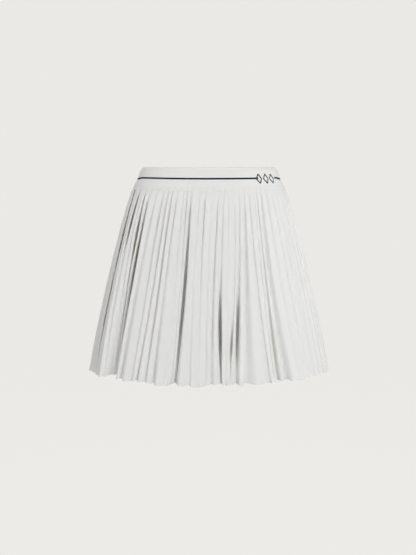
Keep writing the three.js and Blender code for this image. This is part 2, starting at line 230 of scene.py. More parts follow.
BACK_FOLDS = (
    Fold(0, 0, 0, 0, 2, 4, 6, 0),
    Fold(2, 0, 3, 5, 3, 6, 8, 3),
    Fold(5, 2, 5, 10, 2, 3, 4, 4),
    Fold(7, 1, 7, 8, 3, 6, 9, -2),
    Fold(8, 1, 2, 2, 2.6, 5, 8, 2),
    Fold(12, -2, -4, 3, 1.6, 3, 3, 6),
    Fold(13, -2, -6, -5, 3, 6, 8, -3),
    Fold(17, 1, 4, 6, 1.6, 3, 3, 6),
    Fold(18, 2, 6, 12, 2.4, 5, 7, -4),
    Fold(19, 2, 4, 7, 3, 6, 8, -2),
    Fold(22, 0, -3, -4, 1.4, 2.4, 3, 6),
    Fold(24, -1, -5, -10, 3, 6, 8, -2),
    Fold(28, 1, 2, 7, 1.6, 3, 4, 5),
    Fold(30, 2, 8, 14, 3, 6, 8, -3),
    Fold(31, 1, 3, 8, 2.4, 5, 8, 1),
    Fold(34, 0, 0, 2, 1.6, 3, 5, 3),
    Fold(36, 0, 1, -3, 2.4, 5, 7, -1),
    Fold(38, 0, 0, 0, 2, 4, 6, 0),
)

BACK_GAPS = (
    Gap(2, 0.45, 0.25, 6, 0.6),
    Gap(7, 0.6, 0.3, 8, 0.8),
    Gap(13, 0.72, 0.22, 11, 1.2),
    Gap(19, 0.6, 0.25, 12, 1.2),
    Gap(24, 0.76, 0.18, 8, 0.6),
    Gap(30, 0.64, 0.28, 11, 1),
)


class PleatPoint(NamedTuple):
    """A share from 0 to 1 at a phase of a pleat, which runs from valley (0) to valley (1)."""

    phase: float
    share: float


# A pleat's height over its phase: its ridge is at 0.44, and it falls more slowly than it rises.
PLEAT_SECTION = (
    PleatPoint(0, 0),
    PleatPoint(0.08, 0.04),
    PleatPoint(0.14, 0.16),
    PleatPoint(0.2, 0.35),
    PleatPoint(0.27, 0.6),
    PleatPoint(0.34, 0.83),
    PleatPoint(0.4, 0.96),
    PleatPoint(0.44, 1),
    PleatPoint(0.5, 0.97),
    PleatPoint(0.58, 0.87),
    PleatPoint(0.67, 0.7),
    PleatPoint(0.76, 0.49),
    PleatPoint(0.84, 0.28),
    PleatPoint(0.92, 0.1),
    PleatPoint(1, 0),
)

# How far each part of a pleat goes back with the gap in its valley.
GAP_SECTION = (
    PleatPoint(0, 1),
    PleatPoint(0.08, 1),
    PleatPoint(0.22, 0),
    PleatPoint(0.8, 0),
    PleatPoint(0.92, 1),
    PleatPoint(1, 1),
)

BAND_TOP = 19.65
BAND_FOOT = -19.65
SKIRT_TOP = -19.95
SKIRT_LENGTH = 325.0
SHORTS_TOP = SHORTS_LINE[0].z
SHORTS_HEM = SHORTS_LINE[-1].z
PLEATS = 38
SEAM_GAP = 0.3


# ---- Curves of the form ----


def lerp(a: float | np.ndarray, b: float | np.ndarray, share: float | np.ndarray) -> float | np.ndarray:
    """Returns the value at a share of the way from a to b."""
    return a + (b - a) * share


def smooth_step(low: float, high: float, value: float | np.ndarray) -> np.ndarray:
    """Returns 0 below low, 1 above high and an easy rise between."""
    share = np.clip((value - low) / (high - low), 0.0, 1.0)
    return share * share * (3.0 - 2.0 * share)


class FormTable:
    """An outer line that is read at any height, on a smooth curve through its rows."""

    def __init__(self, rows: Sequence[FormRow]) -> None:
        """Keeps the rows, which run from the top down."""
        self.heights = np.array([row.z for row in rows], float)
        self.sizes = np.array([(row.half_width, row.front, row.back) for row in rows], float)

    def _slope(self, row: int) -> np.ndarray:
        """Works out the sizes' slope at a row, from its neighbours.

        Args:
            row: The row's number, from the top.

        Returns:
            The slope of each size.
        """
        before = max(row - 1, 0)
        after = min(row + 1, len(self.heights) - 1)
        return (self.sizes[after] - self.sizes[before]) / (self.heights[after] - self.heights[before])

    def at(self, z: float) -> np.ndarray:
        """Reads the line.

        Args:
            z: The height, in millimetres.

        Returns:
            The half width, the reach to the front and the reach to the back.
        """
        last = len(self.heights) - 1
        passed = int((self.heights > z).sum())
        below = min(max(passed, 1), last)
        span = self.heights[below] - self.heights[below - 1]
        share = float(np.clip((z - self.heights[below - 1]) / span, 0.0, 1.0))
        rise = share * share * (3.0 - 2.0 * share)
        bend = share * (1.0 - share) * span
        slopes = self._slope(below - 1) * (1.0 - share) - self._slope(below) * share
        return lerp(self.sizes[below - 1], self.sizes[below], rise) + bend * slopes


GARMENT = FormTable(OUTLINE)
SHORTS = FormTable(SHORTS_LINE)


class HalfLine:
    """Half of an oval line, from the wearer's right round the front or the back to their left."""

    STEPS = 1440

    def __init__(self, sizes: np.ndarray, panel: Panel) -> None:
        """Measures the line.

        Args:
            sizes: The half width and the reaches to the front and to the back.
            panel: The half that the line runs round.
        """
        self.half_width = float(sizes[0])
        self.depth = float(sizes[1] if panel is Panel.FRONT else sizes[2])
        self.side = panel.value
        self.turns = np.linspace(-math.pi / 2, math.pi / 2, self.STEPS + 1)
        points = self._at(self.turns)
        steps = np.linalg.norm(np.diff(points, axis=0), axis=1)
        self.lengths = np.concatenate([[0.0], np.cumsum(steps)])
        self.length = float(self.lengths[-1])

    def _at(self, turns: np.ndarray) -> np.ndarray:
        """Returns the points at these turns."""
        x = self.half_width * np.sin(turns)
        y = self.side * self.depth * np.cos(turns)
        return np.stack([x, y], axis=-1)

    def frame(self, along: np.ndarray) -> tuple[np.ndarray, np.ndarray, np.ndarray]:
        """Reads the line at lengths along it.

        Args:
            along: Lengths from the line's start.

        Returns:
            The points, the outward directions and the directions along the line.
        """
        turns = np.interp(along, self.lengths, self.turns)
        x = self.depth * np.sin(turns)
        y = self.side * self.half_width * np.cos(turns)
        outward = np.stack([x, y], axis=-1) / np.hypot(x, y)[..., None]
        forward = np.stack([outward[..., 1], -outward[..., 0]], axis=-1) * self.side
        return self._at(turns), outward, forward


# ---- Node graphs written as expressions ----

Number = "Value | float"


class Value:
    """A number socket of a node graph. Each operation on it adds a Math node."""

    def __init__(self, graph: Graph, socket: bpy.types.NodeSocket) -> None:
        """Wraps a socket of a graph."""
        self.graph = graph
        self.socket = socket

    def __add__(self, other: Number) -> Value:
        """Returns self + other."""
        return self.graph.math("ADD", self, other)

    __radd__ = __add__

    def __sub__(self, other: Number) -> Value:
        """Returns self - other."""
        return self.graph.math("SUBTRACT", self, other)

    def __rsub__(self, other: Number) -> Value:
        """Returns other - self."""
        return self.graph.math("SUBTRACT", other, self)

    def __mul__(self, other: Number) -> Value:
        """Returns self * other."""
        return self.graph.math("MULTIPLY", self, other)

    __rmul__ = __mul__

    def __abs__(self) -> Value:
        """Returns the value without its sign."""
        return self.graph.math("ABSOLUTE", self)

    def rises(self, low: float, high: float) -> Value:
        """Returns 0 up to low, 1 from high on, and an easy rise between."""
        node = self.graph.node(
            "ShaderNodeMapRange",
            {"interpolation_type": "SMOOTHSTEP"},
            {"Value": self, "From Min": low, "From Max": high},
        )
        return Value(self.graph, node.outputs["Result"])


class Graph:
    """A node tree and the few calls that build all of its nodes."""

    def __init__(self, tree: bpy.types.NodeTree) -> None:
        """Wraps a node tree."""
        self.tree = tree

    def node(
        self,
        kind: str,
        settings: dict[str, object] | None = None,
        inputs: dict[str | int, object] | None = None,
    ) -> bpy.types.Node:
        """Adds a node.

        Args:
            kind: The node's type.
            settings: Its properties, set before anything is linked. "curve" is a float curve's
                points.
            inputs: Values, sockets or Value objects for its sockets, by name or number.

        Returns:
            The new node.
        """
        node = self.tree.nodes.new(kind)
        for name, setting in (settings or {}).items():
            if name == "curve":
                self._set_curve(node.mapping, setting)
            else:
                setattr(node, name, setting)
        self.feed(node, inputs or {})
        return node

    def feed(self, node: bpy.types.Node, inputs: dict[str | int, object]) -> None:
        """Links a node's sockets to others, or sets their own values.

        Args:
            node: The node.
            inputs: Values, sockets or Value objects for its sockets, by name or number.
        """
        for key, value in inputs.items():
            if isinstance(value, Value):
                value = value.socket
            if isinstance(value, bpy.types.NodeSocket):
                self.tree.links.new(value, node.inputs[key])
            else:
                node.inputs[key].default_value = value

    def math(self, operation: str, *terms: Number) -> Value:
        """Adds a Math node on one, two or three numbers and returns its result."""
        node = self.node("ShaderNodeMath", {"operation": operation}, dict(enumerate(terms)))
        return Value(self, node.outputs[0])

    def parts(self, vector: bpy.types.NodeSocket) -> list[Value]:
        """Returns a vector's x, y and z."""
        split = self.node("ShaderNodeSeparateXYZ", None, {0: vector})
        return [Value(self, socket) for socket in split.outputs]

    def mix_colours(self, share: Number, a: object, b: object) -> bpy.types.NodeSocket:
        """Returns a colour that is a where share is 0 and b where it is 1."""
        node = self.node("ShaderNodeMix", {"data_type": "RGBA"}, {0: share, 6: a, 7: b})
        return node.outputs[2]

    def uneven(self, waves: float) -> Value:
        """Adds a noise in the object's own space.

        Args:
            waves: How many of its waves there are in a metre.

        Returns:
            An unevenness from 0 to 1.
        """
        noise = self.node(
            "ShaderNodeTexNoise",
            {"noise_dimensions": "3D"},
            {"Vector": self.place(), "Scale": waves, "Detail": 3.0, "Roughness": 0.6},
        )
        return Value(self, noise.outputs["Fac"])

    def place(self) -> bpy.types.NodeSocket:
        """Returns the place in the object's own space."""
        return self.node("ShaderNodeTexCoord").outputs["Object"]

    def bump(self, strength: float, distance: float, height: Value) -> bpy.types.NodeSocket:
        """Returns the normal of a relief that is at most a distance in millimetres deep."""
        inputs = {"Strength": strength, "Distance": distance * MM, "Height": height}
        return self.node("ShaderNodeBump", None, inputs).outputs[0]

    @staticmethod
    def _set_curve(mapping: bpy.types.CurveMapping, points: Sequence[tuple[float, float]]) -> None:
        """Gives a float curve its points.

        Args:
            mapping: The node's curve.
            points: Places on the curve.
        """
        curve = mapping.curves[0]
        while len(curve.points) < len(points):
            curve.points.new(0.5, 0.5)
        for point, place in zip(curve.points, points):
            point.location = place
        mapping.update()


# ---- Finishes ----

Colour = tuple[float, float, float, float]


# How many waves the unevenness of fibres, of whole patches and of a thread's twist has in a metre.
FIBRE_WAVES = 900.0
PATCH_WAVES = 14.0
TWIST_WAVES = 2600.0

# How strongly a cloth's weave, fibres and patches tint it, between its darkest and lightest tint: a painted
# shade that darkens it where its weave and fibres lie low, and an uneven tone in patches.
SHADING = 0.03
DARK_TINT = 0.94
LIGHT_TINT = 1.06
THREAD_TINT = 0.9

# A knit's height: the shares of its ribs and of its loops, and how far a loop leans, in radians.
RIB_SHARE = 0.35
LOOP_SHARE = 0.15
LOOP_LEAN = 1.6

# How far the fibres change a cloth's roughness, and how high they stand beside its threads.
FIBRE_ROUGH = 0.1
FIBRE_HEIGHT = 0.5


def tinted(colour: Colour, amount: float) -> Colour:
    """Returns a colour times an amount, and no lighter than white."""
    red, green, blue = (min(channel * amount, 1.0) for channel in colour[:3])
    return red, green, blue, 1.0


def new_material(name: str) -> tuple[bpy.types.Material, Graph, bpy.types.Node]:
    """Makes a material.

    Args:
        name: Its name.

    Returns:
        The material, its graph and its Principled BSDF.
    """
    material = bpy.data.materials.new(name)
    material.use_nodes = True
    return material, Graph(material.node_tree), material.node_tree.nodes["Principled BSDF"]


@dataclass(frozen=True)
class StripeSpec:
    """The fine stripe round the waistband, in millimetres.

    Attributes:
        colour: The stripe's colour.
        half: Half of its height.
        lift: How far above the band's middle it runs in front.
        bow: How much higher it runs at bow_at from the middle.
        bow_at: Where that is.
        dip: How far it sinks at the sides, where the band turns away.
        dip_from: The distance from the middle where it starts to sink.
        dip_to: The distance where it has sunk.
        gap: The stretch from the middle that the motif stands in.
        gap_front: The Y up to which the stripe has its gap, so that it has none behind.
        edge: Half of the width that its edges blend over.
        wander: How far the knit's loops move its edges.
    """

    colour: Colour = (0.002, 0.015, 0.026, 1.0)
    half: float = 1.6
    lift: float = 0.3
    bow: float = 0.9
    bow_at: float = 110.0
    dip: float = 2.0
    dip_from: float = 117.0
    dip_to: float = 127.0
    gap: tuple[float, float] = (86.0, 115.5)
    gap_front: float = -10.0
    edge: float = 0.1
    wander: float = 0.12

    def mask(self, graph: Graph, height: Value) -> Value:
        """Draws the stripe in the band's cloth.

        Args:
            graph: The cloth's graph.
            height: The height of the cloth's loops.

        Returns:
            1 on the stripe and 0 off it, with an edge a thread wide.
        """
        x, y, z = graph.parts(graph.place())
        dip = abs(x).rises(self.dip_from * MM, self.dip_to * MM) * (self.dip * MM)
        bow = x * x * (self.bow / (self.bow_at**2 * MM)) + self.lift * MM
        away = abs(z + dip - bow) + height * (self.wander * MM)
        line = 1 - self._past(away, self.half)
        start, end = self.gap
        in_gap = self._past(x, start) * (1 - self._past(x, end))
        in_front = 1 - y.rises(self.gap_front * MM, (self.gap_front + 1) * MM)
        return line * (1 - in_gap * in_front)

    def _past(self, value: Value, place: float) -> Value:
        """Returns 0 before a place and 1 past it, with a soft edge between."""
        return value.rises((place - self.edge) * MM, (place + self.edge) * MM)


@dataclass(frozen=True)
class ClothFinish:
    """A white cloth's finish.

    Attributes:
        name: The material's name.
        colour: Its colour in full light.
        roughness: Its roughness.
        sheen: The weight of its soft sheen.
        pitch: The distance between its threads or ribs, across and along, in millimetres.
        relief: How strongly its weave or knit stands out.
        knit: True if it is knitted, False if it is woven.
    """

    name: str
    colour: Colour
    roughness: float
    sheen: float
    pitch: tuple[float, float]
    relief: float
    knit: bool

    def _weave(self, graph: Graph) -> Value:
        """Adds the threads of a weave or the loops of a knit, on the flat cloth.

        Args:
            graph: The cloth's graph.

        Returns:
            Their height, from 0 to 1.
        """
        flat = graph.parts(graph.node("ShaderNodeUVMap", {"uv_map": "Cloth"}).outputs[0])
        across, down = (place * (2 * math.pi / (pitch * MM)) for place, pitch in zip(flat, self.pitch))
        if self.knit:
            rib = graph.math("COSINE", across)
            loop = graph.math("SINE", down + abs(graph.math("SINE", across * 0.5)) * LOOP_LEAN)
            return rib * RIB_SHARE + loop * LOOP_SHARE + 0.5
        return graph.math("SINE", across) * graph.math("SINE", down) * 0.5 + 0.5

    def material(self, stripe: StripeSpec | None = None) -> bpy.types.Material:
        """Makes the cloth.

        Args:
            stripe: A stripe that it carries, or None.

        Returns:
            The material.
        """
        material, graph, shader = new_material(self.name)
        height = self._weave(graph)
        fibres, patches = graph.uneven(FIBRE_WAVES), graph.uneven(PATCH_WAVES)
        # Painted shade: the cloth is darker where its threads or loops and its fibres lie low, in the
        # hollows of its relief; the patches only vary its tone unevenly.
        shade = (height + fibres + patches - 1.5) * SHADING + 0.5
        colour = graph.mix_colours(shade, tinted(self.colour, DARK_TINT), tinted(self.colour, LIGHT_TINT))
        if stripe:
            colour = graph.mix_colours(stripe.mask(graph, height), colour, stripe.colour)
        graph.feed(
            shader,
            {
                "Base Color": colour,
                "Roughness": (fibres - 0.5) * FIBRE_ROUGH + self.roughness,
                "Sheen Weight": self.sheen,
                "Sheen Roughness": 0.5,
                "Specular IOR Level": 0.25,
                "Normal": graph.bump(self.relief, 0.2, height + fibres * FIBRE_HEIGHT),
            },
        )
        return material


@dataclass(frozen=True)
class ThreadFinish:
    """A sewing or embroidery thread's finish."""

    name: str
    colour: Colour
    roughness: float

    def material(self) -> bpy.types.Material:
        """Makes the thread, with its twist as a fine bump and as a painted shade that darkens it where the
        twist lies low.

        Returns:
            The material.
        """
        material, graph, shader = new_material(self.name)
        # Painted shade: the twist's noise darkens the thread's colour where it lies low, in the grooves of
        # its bump.
        twist = graph.uneven(TWIST_WAVES)
        graph.feed(
            shader,
            {
                "Base Color": graph.mix_colours(twist, tinted(self.colour, THREAD_TINT), self.colour),
                "Roughness": self.roughness,
                "Sheen Weight": 0.2,
                "Normal": graph.bump(0.3, 0.1, twist),
            },
        )
        return material


PLEATED_CLOTH = ClothFinish(
    name="Pleated_polyester",
    colour=(0.857, 0.86, 0.82, 1.0),
    roughness=0.82,
    sheen=0.15,
    pitch=(0.42, 0.42),
    relief=0.10,
    knit=False,
)
BAND_KNIT = ClothFinish(
    name="Band_rib_knit",
    colour=(0.866, 0.869, 0.831, 1.0),
    roughness=0.78,
    sheen=0.1,
    pitch=(1.3, 0.7),
    relief=0.16,
    knit=True,
)
SHORTS_KNIT = ClothFinish(
    name="Shorts_jersey",
    colour=(0.825, 0.828, 0.8, 1.0),
    roughness=0.7,
    sheen=0.25,
    pitch=(0.9, 0.6),
    relief=0.14,
    knit=True,
)
WHITE_THREAD = ThreadFinish("White_thread", (0.84, 0.84, 0.83, 1.0), 0.5)
NAVY_THREAD = ThreadFinish("Navy_thread", (0.006, 0.014, 0.024, 1.0), 0.5)


# ---- Meshes ----


def placed(name: str, data: bpy.types.ID) -> bpy.types.Object:
    """Makes an object of a mesh, a light or a camera and links it to the scene.

    Args:
        name: Its name.
        data: What it shows.

    Returns:
        The object.
    """
    thing = bpy.data.objects.new(name, data)
    bpy.context.scene.collection.objects.link(thing)
    return thing


class GridMesh:
    """A mesh on a grid of points, in metres, whose faces look outwards."""

    def __init__(self, points: np.ndarray, around: bool = False, closed: bool = False) -> None:
        """Keeps the grid.

        Args:
            points: Rows of columns of points. Seen from outside, rows run down and columns right.
            around: True if the last column joins the first.
            closed: True if the last row joins the first.
        """
        self.points = points
        self.around = around
        self.closed = closed

    def faces(self) -> np.ndarray:
        """Joins the points.

        Returns:
            The four corners of each face, by their numbers.
        """
        rows, columns = self.points.shape[:2]
        row = np.arange(rows if self.closed else rows - 1)[:, None]
        column = np.arange(columns if self.around else columns - 1)[None, :]
        below = (row + 1) % rows
        beside = (column + 1) % columns
        corners = [
            row * columns + column,
            below * columns + column,
            below * columns + beside,
            row * columns + beside,
        ]
        return np.stack(np.broadcast_arrays(*corners), axis=-1).reshape(-1, 4)

    def build(
        self, name: str, cloth_place: np.ndarray | None = None, flip: bool = False
    ) -> bpy.types.Object:
        """Makes the object.

        Args:
            name: Its name.
            cloth_place: Each point's place on the flat cloth, in metres, for the UV map "Cloth".
            flip: True turns every face round.

        Returns:
            The object, linked to the scene.
        """
        faces = self.faces()
        if flip:
            faces = faces[:, ::-1]
        mesh = bpy.data.meshes.new(name)
        mesh.from_pydata(self.points.reshape(-1, 3).tolist(), [], faces.tolist())
        if cloth_place is not None:
            layer = mesh.uv_layers.new(name="Cloth")
            corners = np.empty(len(mesh.loops), np.int32)
            mesh.loops.foreach_get("vertex_index", corners)
            layer.uv.foreach_set("vector", cloth_place.reshape(-1, 2)[corners].astype(np.float32).ravel())
        mesh.shade_smooth()
        return placed(name, mesh)


def store(thing: bpy.types.Object, name: str, values: np.ndarray) -> None:
    """Keeps one number or one vector for each point of a mesh.

    Args:
        thing: The mesh object.
        name: The attribute's name.
        values: Rows of columns of numbers or of vectors.
    """
    kind, key = ("FLOAT_VECTOR", "vector") if values.ndim > 2 else ("FLOAT", "value")
    attribute = thing.data.attributes.new(name, kind, "POINT")
    attribute.data.foreach_set(key, values.astype(np.float32).ravel())


def settled(thing: bpy.types.Object, name: str) -> bpy.types.Object:
    """Turns an object and its live modifiers into a plain mesh object.

    Args:
        thing: The object, which is removed.
        name: The new object's name.

    Returns:
        The plain object.
    """
    graph = bpy.context.evaluated_depsgraph_get()
    mesh = bpy.data.meshes.new_from_object(thing.evaluated_get(graph))
    bpy.data.objects.remove(thing)
    mesh.name = name
    return placed(name, mesh)


def thicken(thing: bpy.types.Object, wall: float) -> None:
    """Gives a sheet a wall behind its outer face, closed at its edges.

    Args:
        thing: The sheet.
        wall: The wall's thickness, in millimetres.
    """
    solid = thing.modifiers.new("Wall", "SOLIDIFY")
    solid.thickness = wall * MM
    solid.offset = -1.0
    solid.use_even_offset = True
    solid.thickness_clamp = 0.8


def crisp(thing: bpy.types.Object, degrees: float = 48.0) -> None:
    """Smooths a mesh's shading but for its edges sharper than an angle."""
    thing.data.shade_smooth()
    thing.data.set_sharp_from_angle(angle=math.radians(degrees))


# ---- Geometry Nodes ----


class NodeModifier:
    """A Geometry Nodes tree with named inputs, and a modifier that runs it."""

    def __init__(self, name: str) -> None:
        """Makes an empty tree that takes and gives a geometry.

        Args:
            name: The tree's name.
        """
        self.tree = bpy.data.node_groups.new(name, "GeometryNodeTree")
        self.tree.is_modifier = True
        self.graph = Graph(self.tree)
        self.identifiers: dict[str, str] = {}
        for side in ("INPUT", "OUTPUT"):
            self.tree.interface.new_socket(name="Geometry", in_out=side, socket_type="NodeSocketGeometry")
        self.source = self.tree.nodes.new("NodeGroupInput")
        self.result = self.tree.nodes.new("NodeGroupOutput")

    def size(self, name: str, kind: str = "NodeSocketFloat") -> Value:
        """Adds a named input.

        Args:
            name: The input's name.
            kind: Its type.

        Returns:
            Its socket inside the tree.
        """
        socket = self.tree.interface.new_socket(name=name, in_out="INPUT", socket_type=kind)
        self.identifiers[name] = socket.identifier
        return Value(self.graph, self.source.outputs[name])

    def sizes(self, *names: str) -> list[Value]:
        """Adds named number inputs and returns their sockets inside the tree."""
        return [self.size(name) for name in names]

    def attribute(self, name: str, kind: str = "FLOAT") -> bpy.types.NodeSocket:
        """Returns a point attribute's socket."""
        node = self.graph.node("GeometryNodeInputNamedAttribute", {"data_type": kind}, {"Name": name})
        return node.outputs["Attribute"]

    def numbers(self, *names: str) -> list[Value]:
        """Returns number attributes as Values."""
        return [Value(self.graph, self.attribute(name)) for name in names]

    def scaled(self, vector: bpy.types.NodeSocket, amount: Number) -> bpy.types.NodeSocket:
        """Returns a vector times a number."""
        node = self.graph.node("ShaderNodeVectorMath", {"operation": "SCALE"}, {0: vector, "Scale": amount})
        return node.outputs[0]

    def added(self, *vectors: bpy.types.NodeSocket) -> bpy.types.NodeSocket:
        """Adds up vectors.

        Args:
            vectors: The vectors' sockets.

        Returns:
            Their sum.
        """
        total = vectors[0]
        for vector in vectors[1:]:
            node = self.graph.node("ShaderNodeVectorMath", {"operation": "ADD"}, {0: total, 1: vector})
            total = node.outputs[0]
        return total

    def finish(self, geometry: bpy.types.NodeSocket) -> None:
        """Ends the tree with real geometry in the material that its last input names.

        Args:
            geometry: What the tree has made.
        """
        material = self.size("Finish", "NodeSocketMaterial")
        real = self.graph.node("GeometryNodeRealizeInstances", None, {"Geometry": geometry})
        dressed = self.graph.node(
            "GeometryNodeSetMaterial", None, {"Geometry": real.outputs[0], "Material": material}
        )
        self.graph.feed(self.result, {0: dressed.outputs[0]})

    def run_on(self, thing: bpy.types.Object, values: dict[str, object]) -> None:
        """Adds the modifier to an object and sets its inputs by their identifiers.

        Args:
            thing: The object.
            values: Each input's value, by the input's name.
        """
        modifier = thing.modifiers.new(self.tree.name, "NODES")
        modifier.node_group = self.tree
        for name, value in values.items():
            modifier[self.identifiers[name]] = value


@dataclass(frozen=True)
class PleatShape:
    """The rule that folds a flat sheet into pleats, in millimetres.

    Attributes:
        section: A pleat's height over its phase.
        lean_top: How far a ridge leans over its valley at the waistband.
        lean_hem: The same at the hem.
        hem_drop: How much lower the hem hangs where it stands out, as a share of that.
        ruffle: How unevenly the cloth falls at the hem.
        ruffle_scale: How many uneven waves there are in a metre.
        seed: Picks the unevenness.
    """

    section: tuple[PleatPoint, ...] = PLEAT_SECTION
    lean_top: float = 0.7
    lean_hem: float = 0.9
    hem_drop: float = 0.3
    ruffle: float = 0.9
    ruffle_scale: float = 22.0
    seed: float = 4.0


class PleatFolder(NodeModifier):
    """Folds a sheet that carries its pleats' phase and depths as attributes."""

    # The unevenness changes more slowly down the cloth than round it.
    STRETCH = (1.0, 1.0, 0.3)

    def __init__(self, shape: PleatShape) -> None:
        """Builds the tree.

        Args:
            shape: The rule that it folds by.
        """
        super().__init__("PleatFolder")
        self.shape = shape
        graph = self.graph
        lean_top, lean_hem, hem_drop = self.sizes("Lean Top", "Lean Hem", "Hem Drop")
        ruffle, ruffle_scale, seed = self.sizes("Ruffle", "Ruffle Scale", "Seed")
        drop, valley, ridge = self.numbers("drop", "valley_out", "ridge_out")
        curve = graph.node(
            "ShaderNodeFloatCurve", {"curve": shape.section}, {"Value": self.attribute("phase")}
        )
        height = Value(graph, curve.outputs[0])
        place = graph.node("GeometryNodeInputPosition").outputs[0]
        stretched = graph.node(
            "ShaderNodeVectorMath", {"operation": "MULTIPLY"}, {0: place, 1: self.STRETCH}
        )
        noise = graph.node(
            "ShaderNodeTexNoise",
            {"noise_dimensions": "4D"},
            {"Vector": stretched.outputs[0], "W": seed, "Scale": ruffle_scale, "Detail": 1.0},
        )
        uneven = (Value(graph, noise.outputs[0]) - 0.5) * ruffle * drop
        folded = valley + (ridge - valley) * height
        lean = (lean_top + (lean_hem - lean_top) * drop) * height
        hang = folded * hem_drop * drop * drop * drop
        down = graph.node("ShaderNodeCombineXYZ", None, {"Z": hang * -1.0})
        offset = self.added(
            self.scaled(self.attribute("outward", "FLOAT_VECTOR"), folded + uneven),
            self.scaled(self.attribute("forward", "FLOAT_VECTOR"), lean * -1.0),
            self.attribute("gap", "FLOAT_VECTOR"),
            down.outputs[0],
        )
        moved = graph.node(
            "GeometryNodeSetPosition", None, {"Geometry": self.source.outputs["Geometry"], "Offset": offset}
        )
        self.finish(moved.outputs[0])

    def fold(self, sheet: bpy.types.Object, finish: bpy.types.Material, seed: float) -> None:
        """Folds a sheet.

        Args:
            sheet: The flat sheet, with its attributes.
            finish: The material that it is made in.
            seed: Picks its own unevenness.
        """
        self.run_on(
            sheet,
            {
                "Lean Top": self.shape.lean_top * MM,
                "Lean Hem": self.shape.lean_hem * MM,
                "Hem Drop": self.shape.hem_drop,
                "Ruffle": self.shape.ruffle * MM,
                "Ruffle Scale": self.shape.ruffle_scale,
                "Seed": self.shape.seed + seed,
                "Finish": finish,
            },
        )


@dataclass(frozen=True)
class StitchSpec:
    """A row of stitches, in millimetres.

    Attributes:
        pitch: From one stitch to the next.
        length: A stitch's length.
        radius: The thread's radius.
        turn: The stitch's angle to its row, in degrees.
        lift: How far the thread lies above the cloth.
        jitter: How unevenly the stitches are turned, in degrees.
    """

    pitch: float
    length: float
    radius: float
    turn: float = 0.0
    lift: float = 0.1
    jitter: float = 3.0


COVER_STITCH = StitchSpec(2.7, 2.1, 0.28)
SATIN_STITCH = StitchSpec(0.42, 2.6, 0.3, turn=90.0, lift=0.15)
HEM_STITCH = StitchSpec(2.9, 2.2, 0.16, lift=0.0)
TWIN_NEEDLE = StitchSpec(2.8, 2.2, 0.2)


@dataclass(frozen=True)
class StitchPath:
    """A path for stitches.

    Attributes:
        points: Its points, in metres.
        outward: The cloth's outward direction at each.
        joins: True if its last point joins its first.
    """

    points: np.ndarray
    outward: np.ndarray
    joins: bool = False


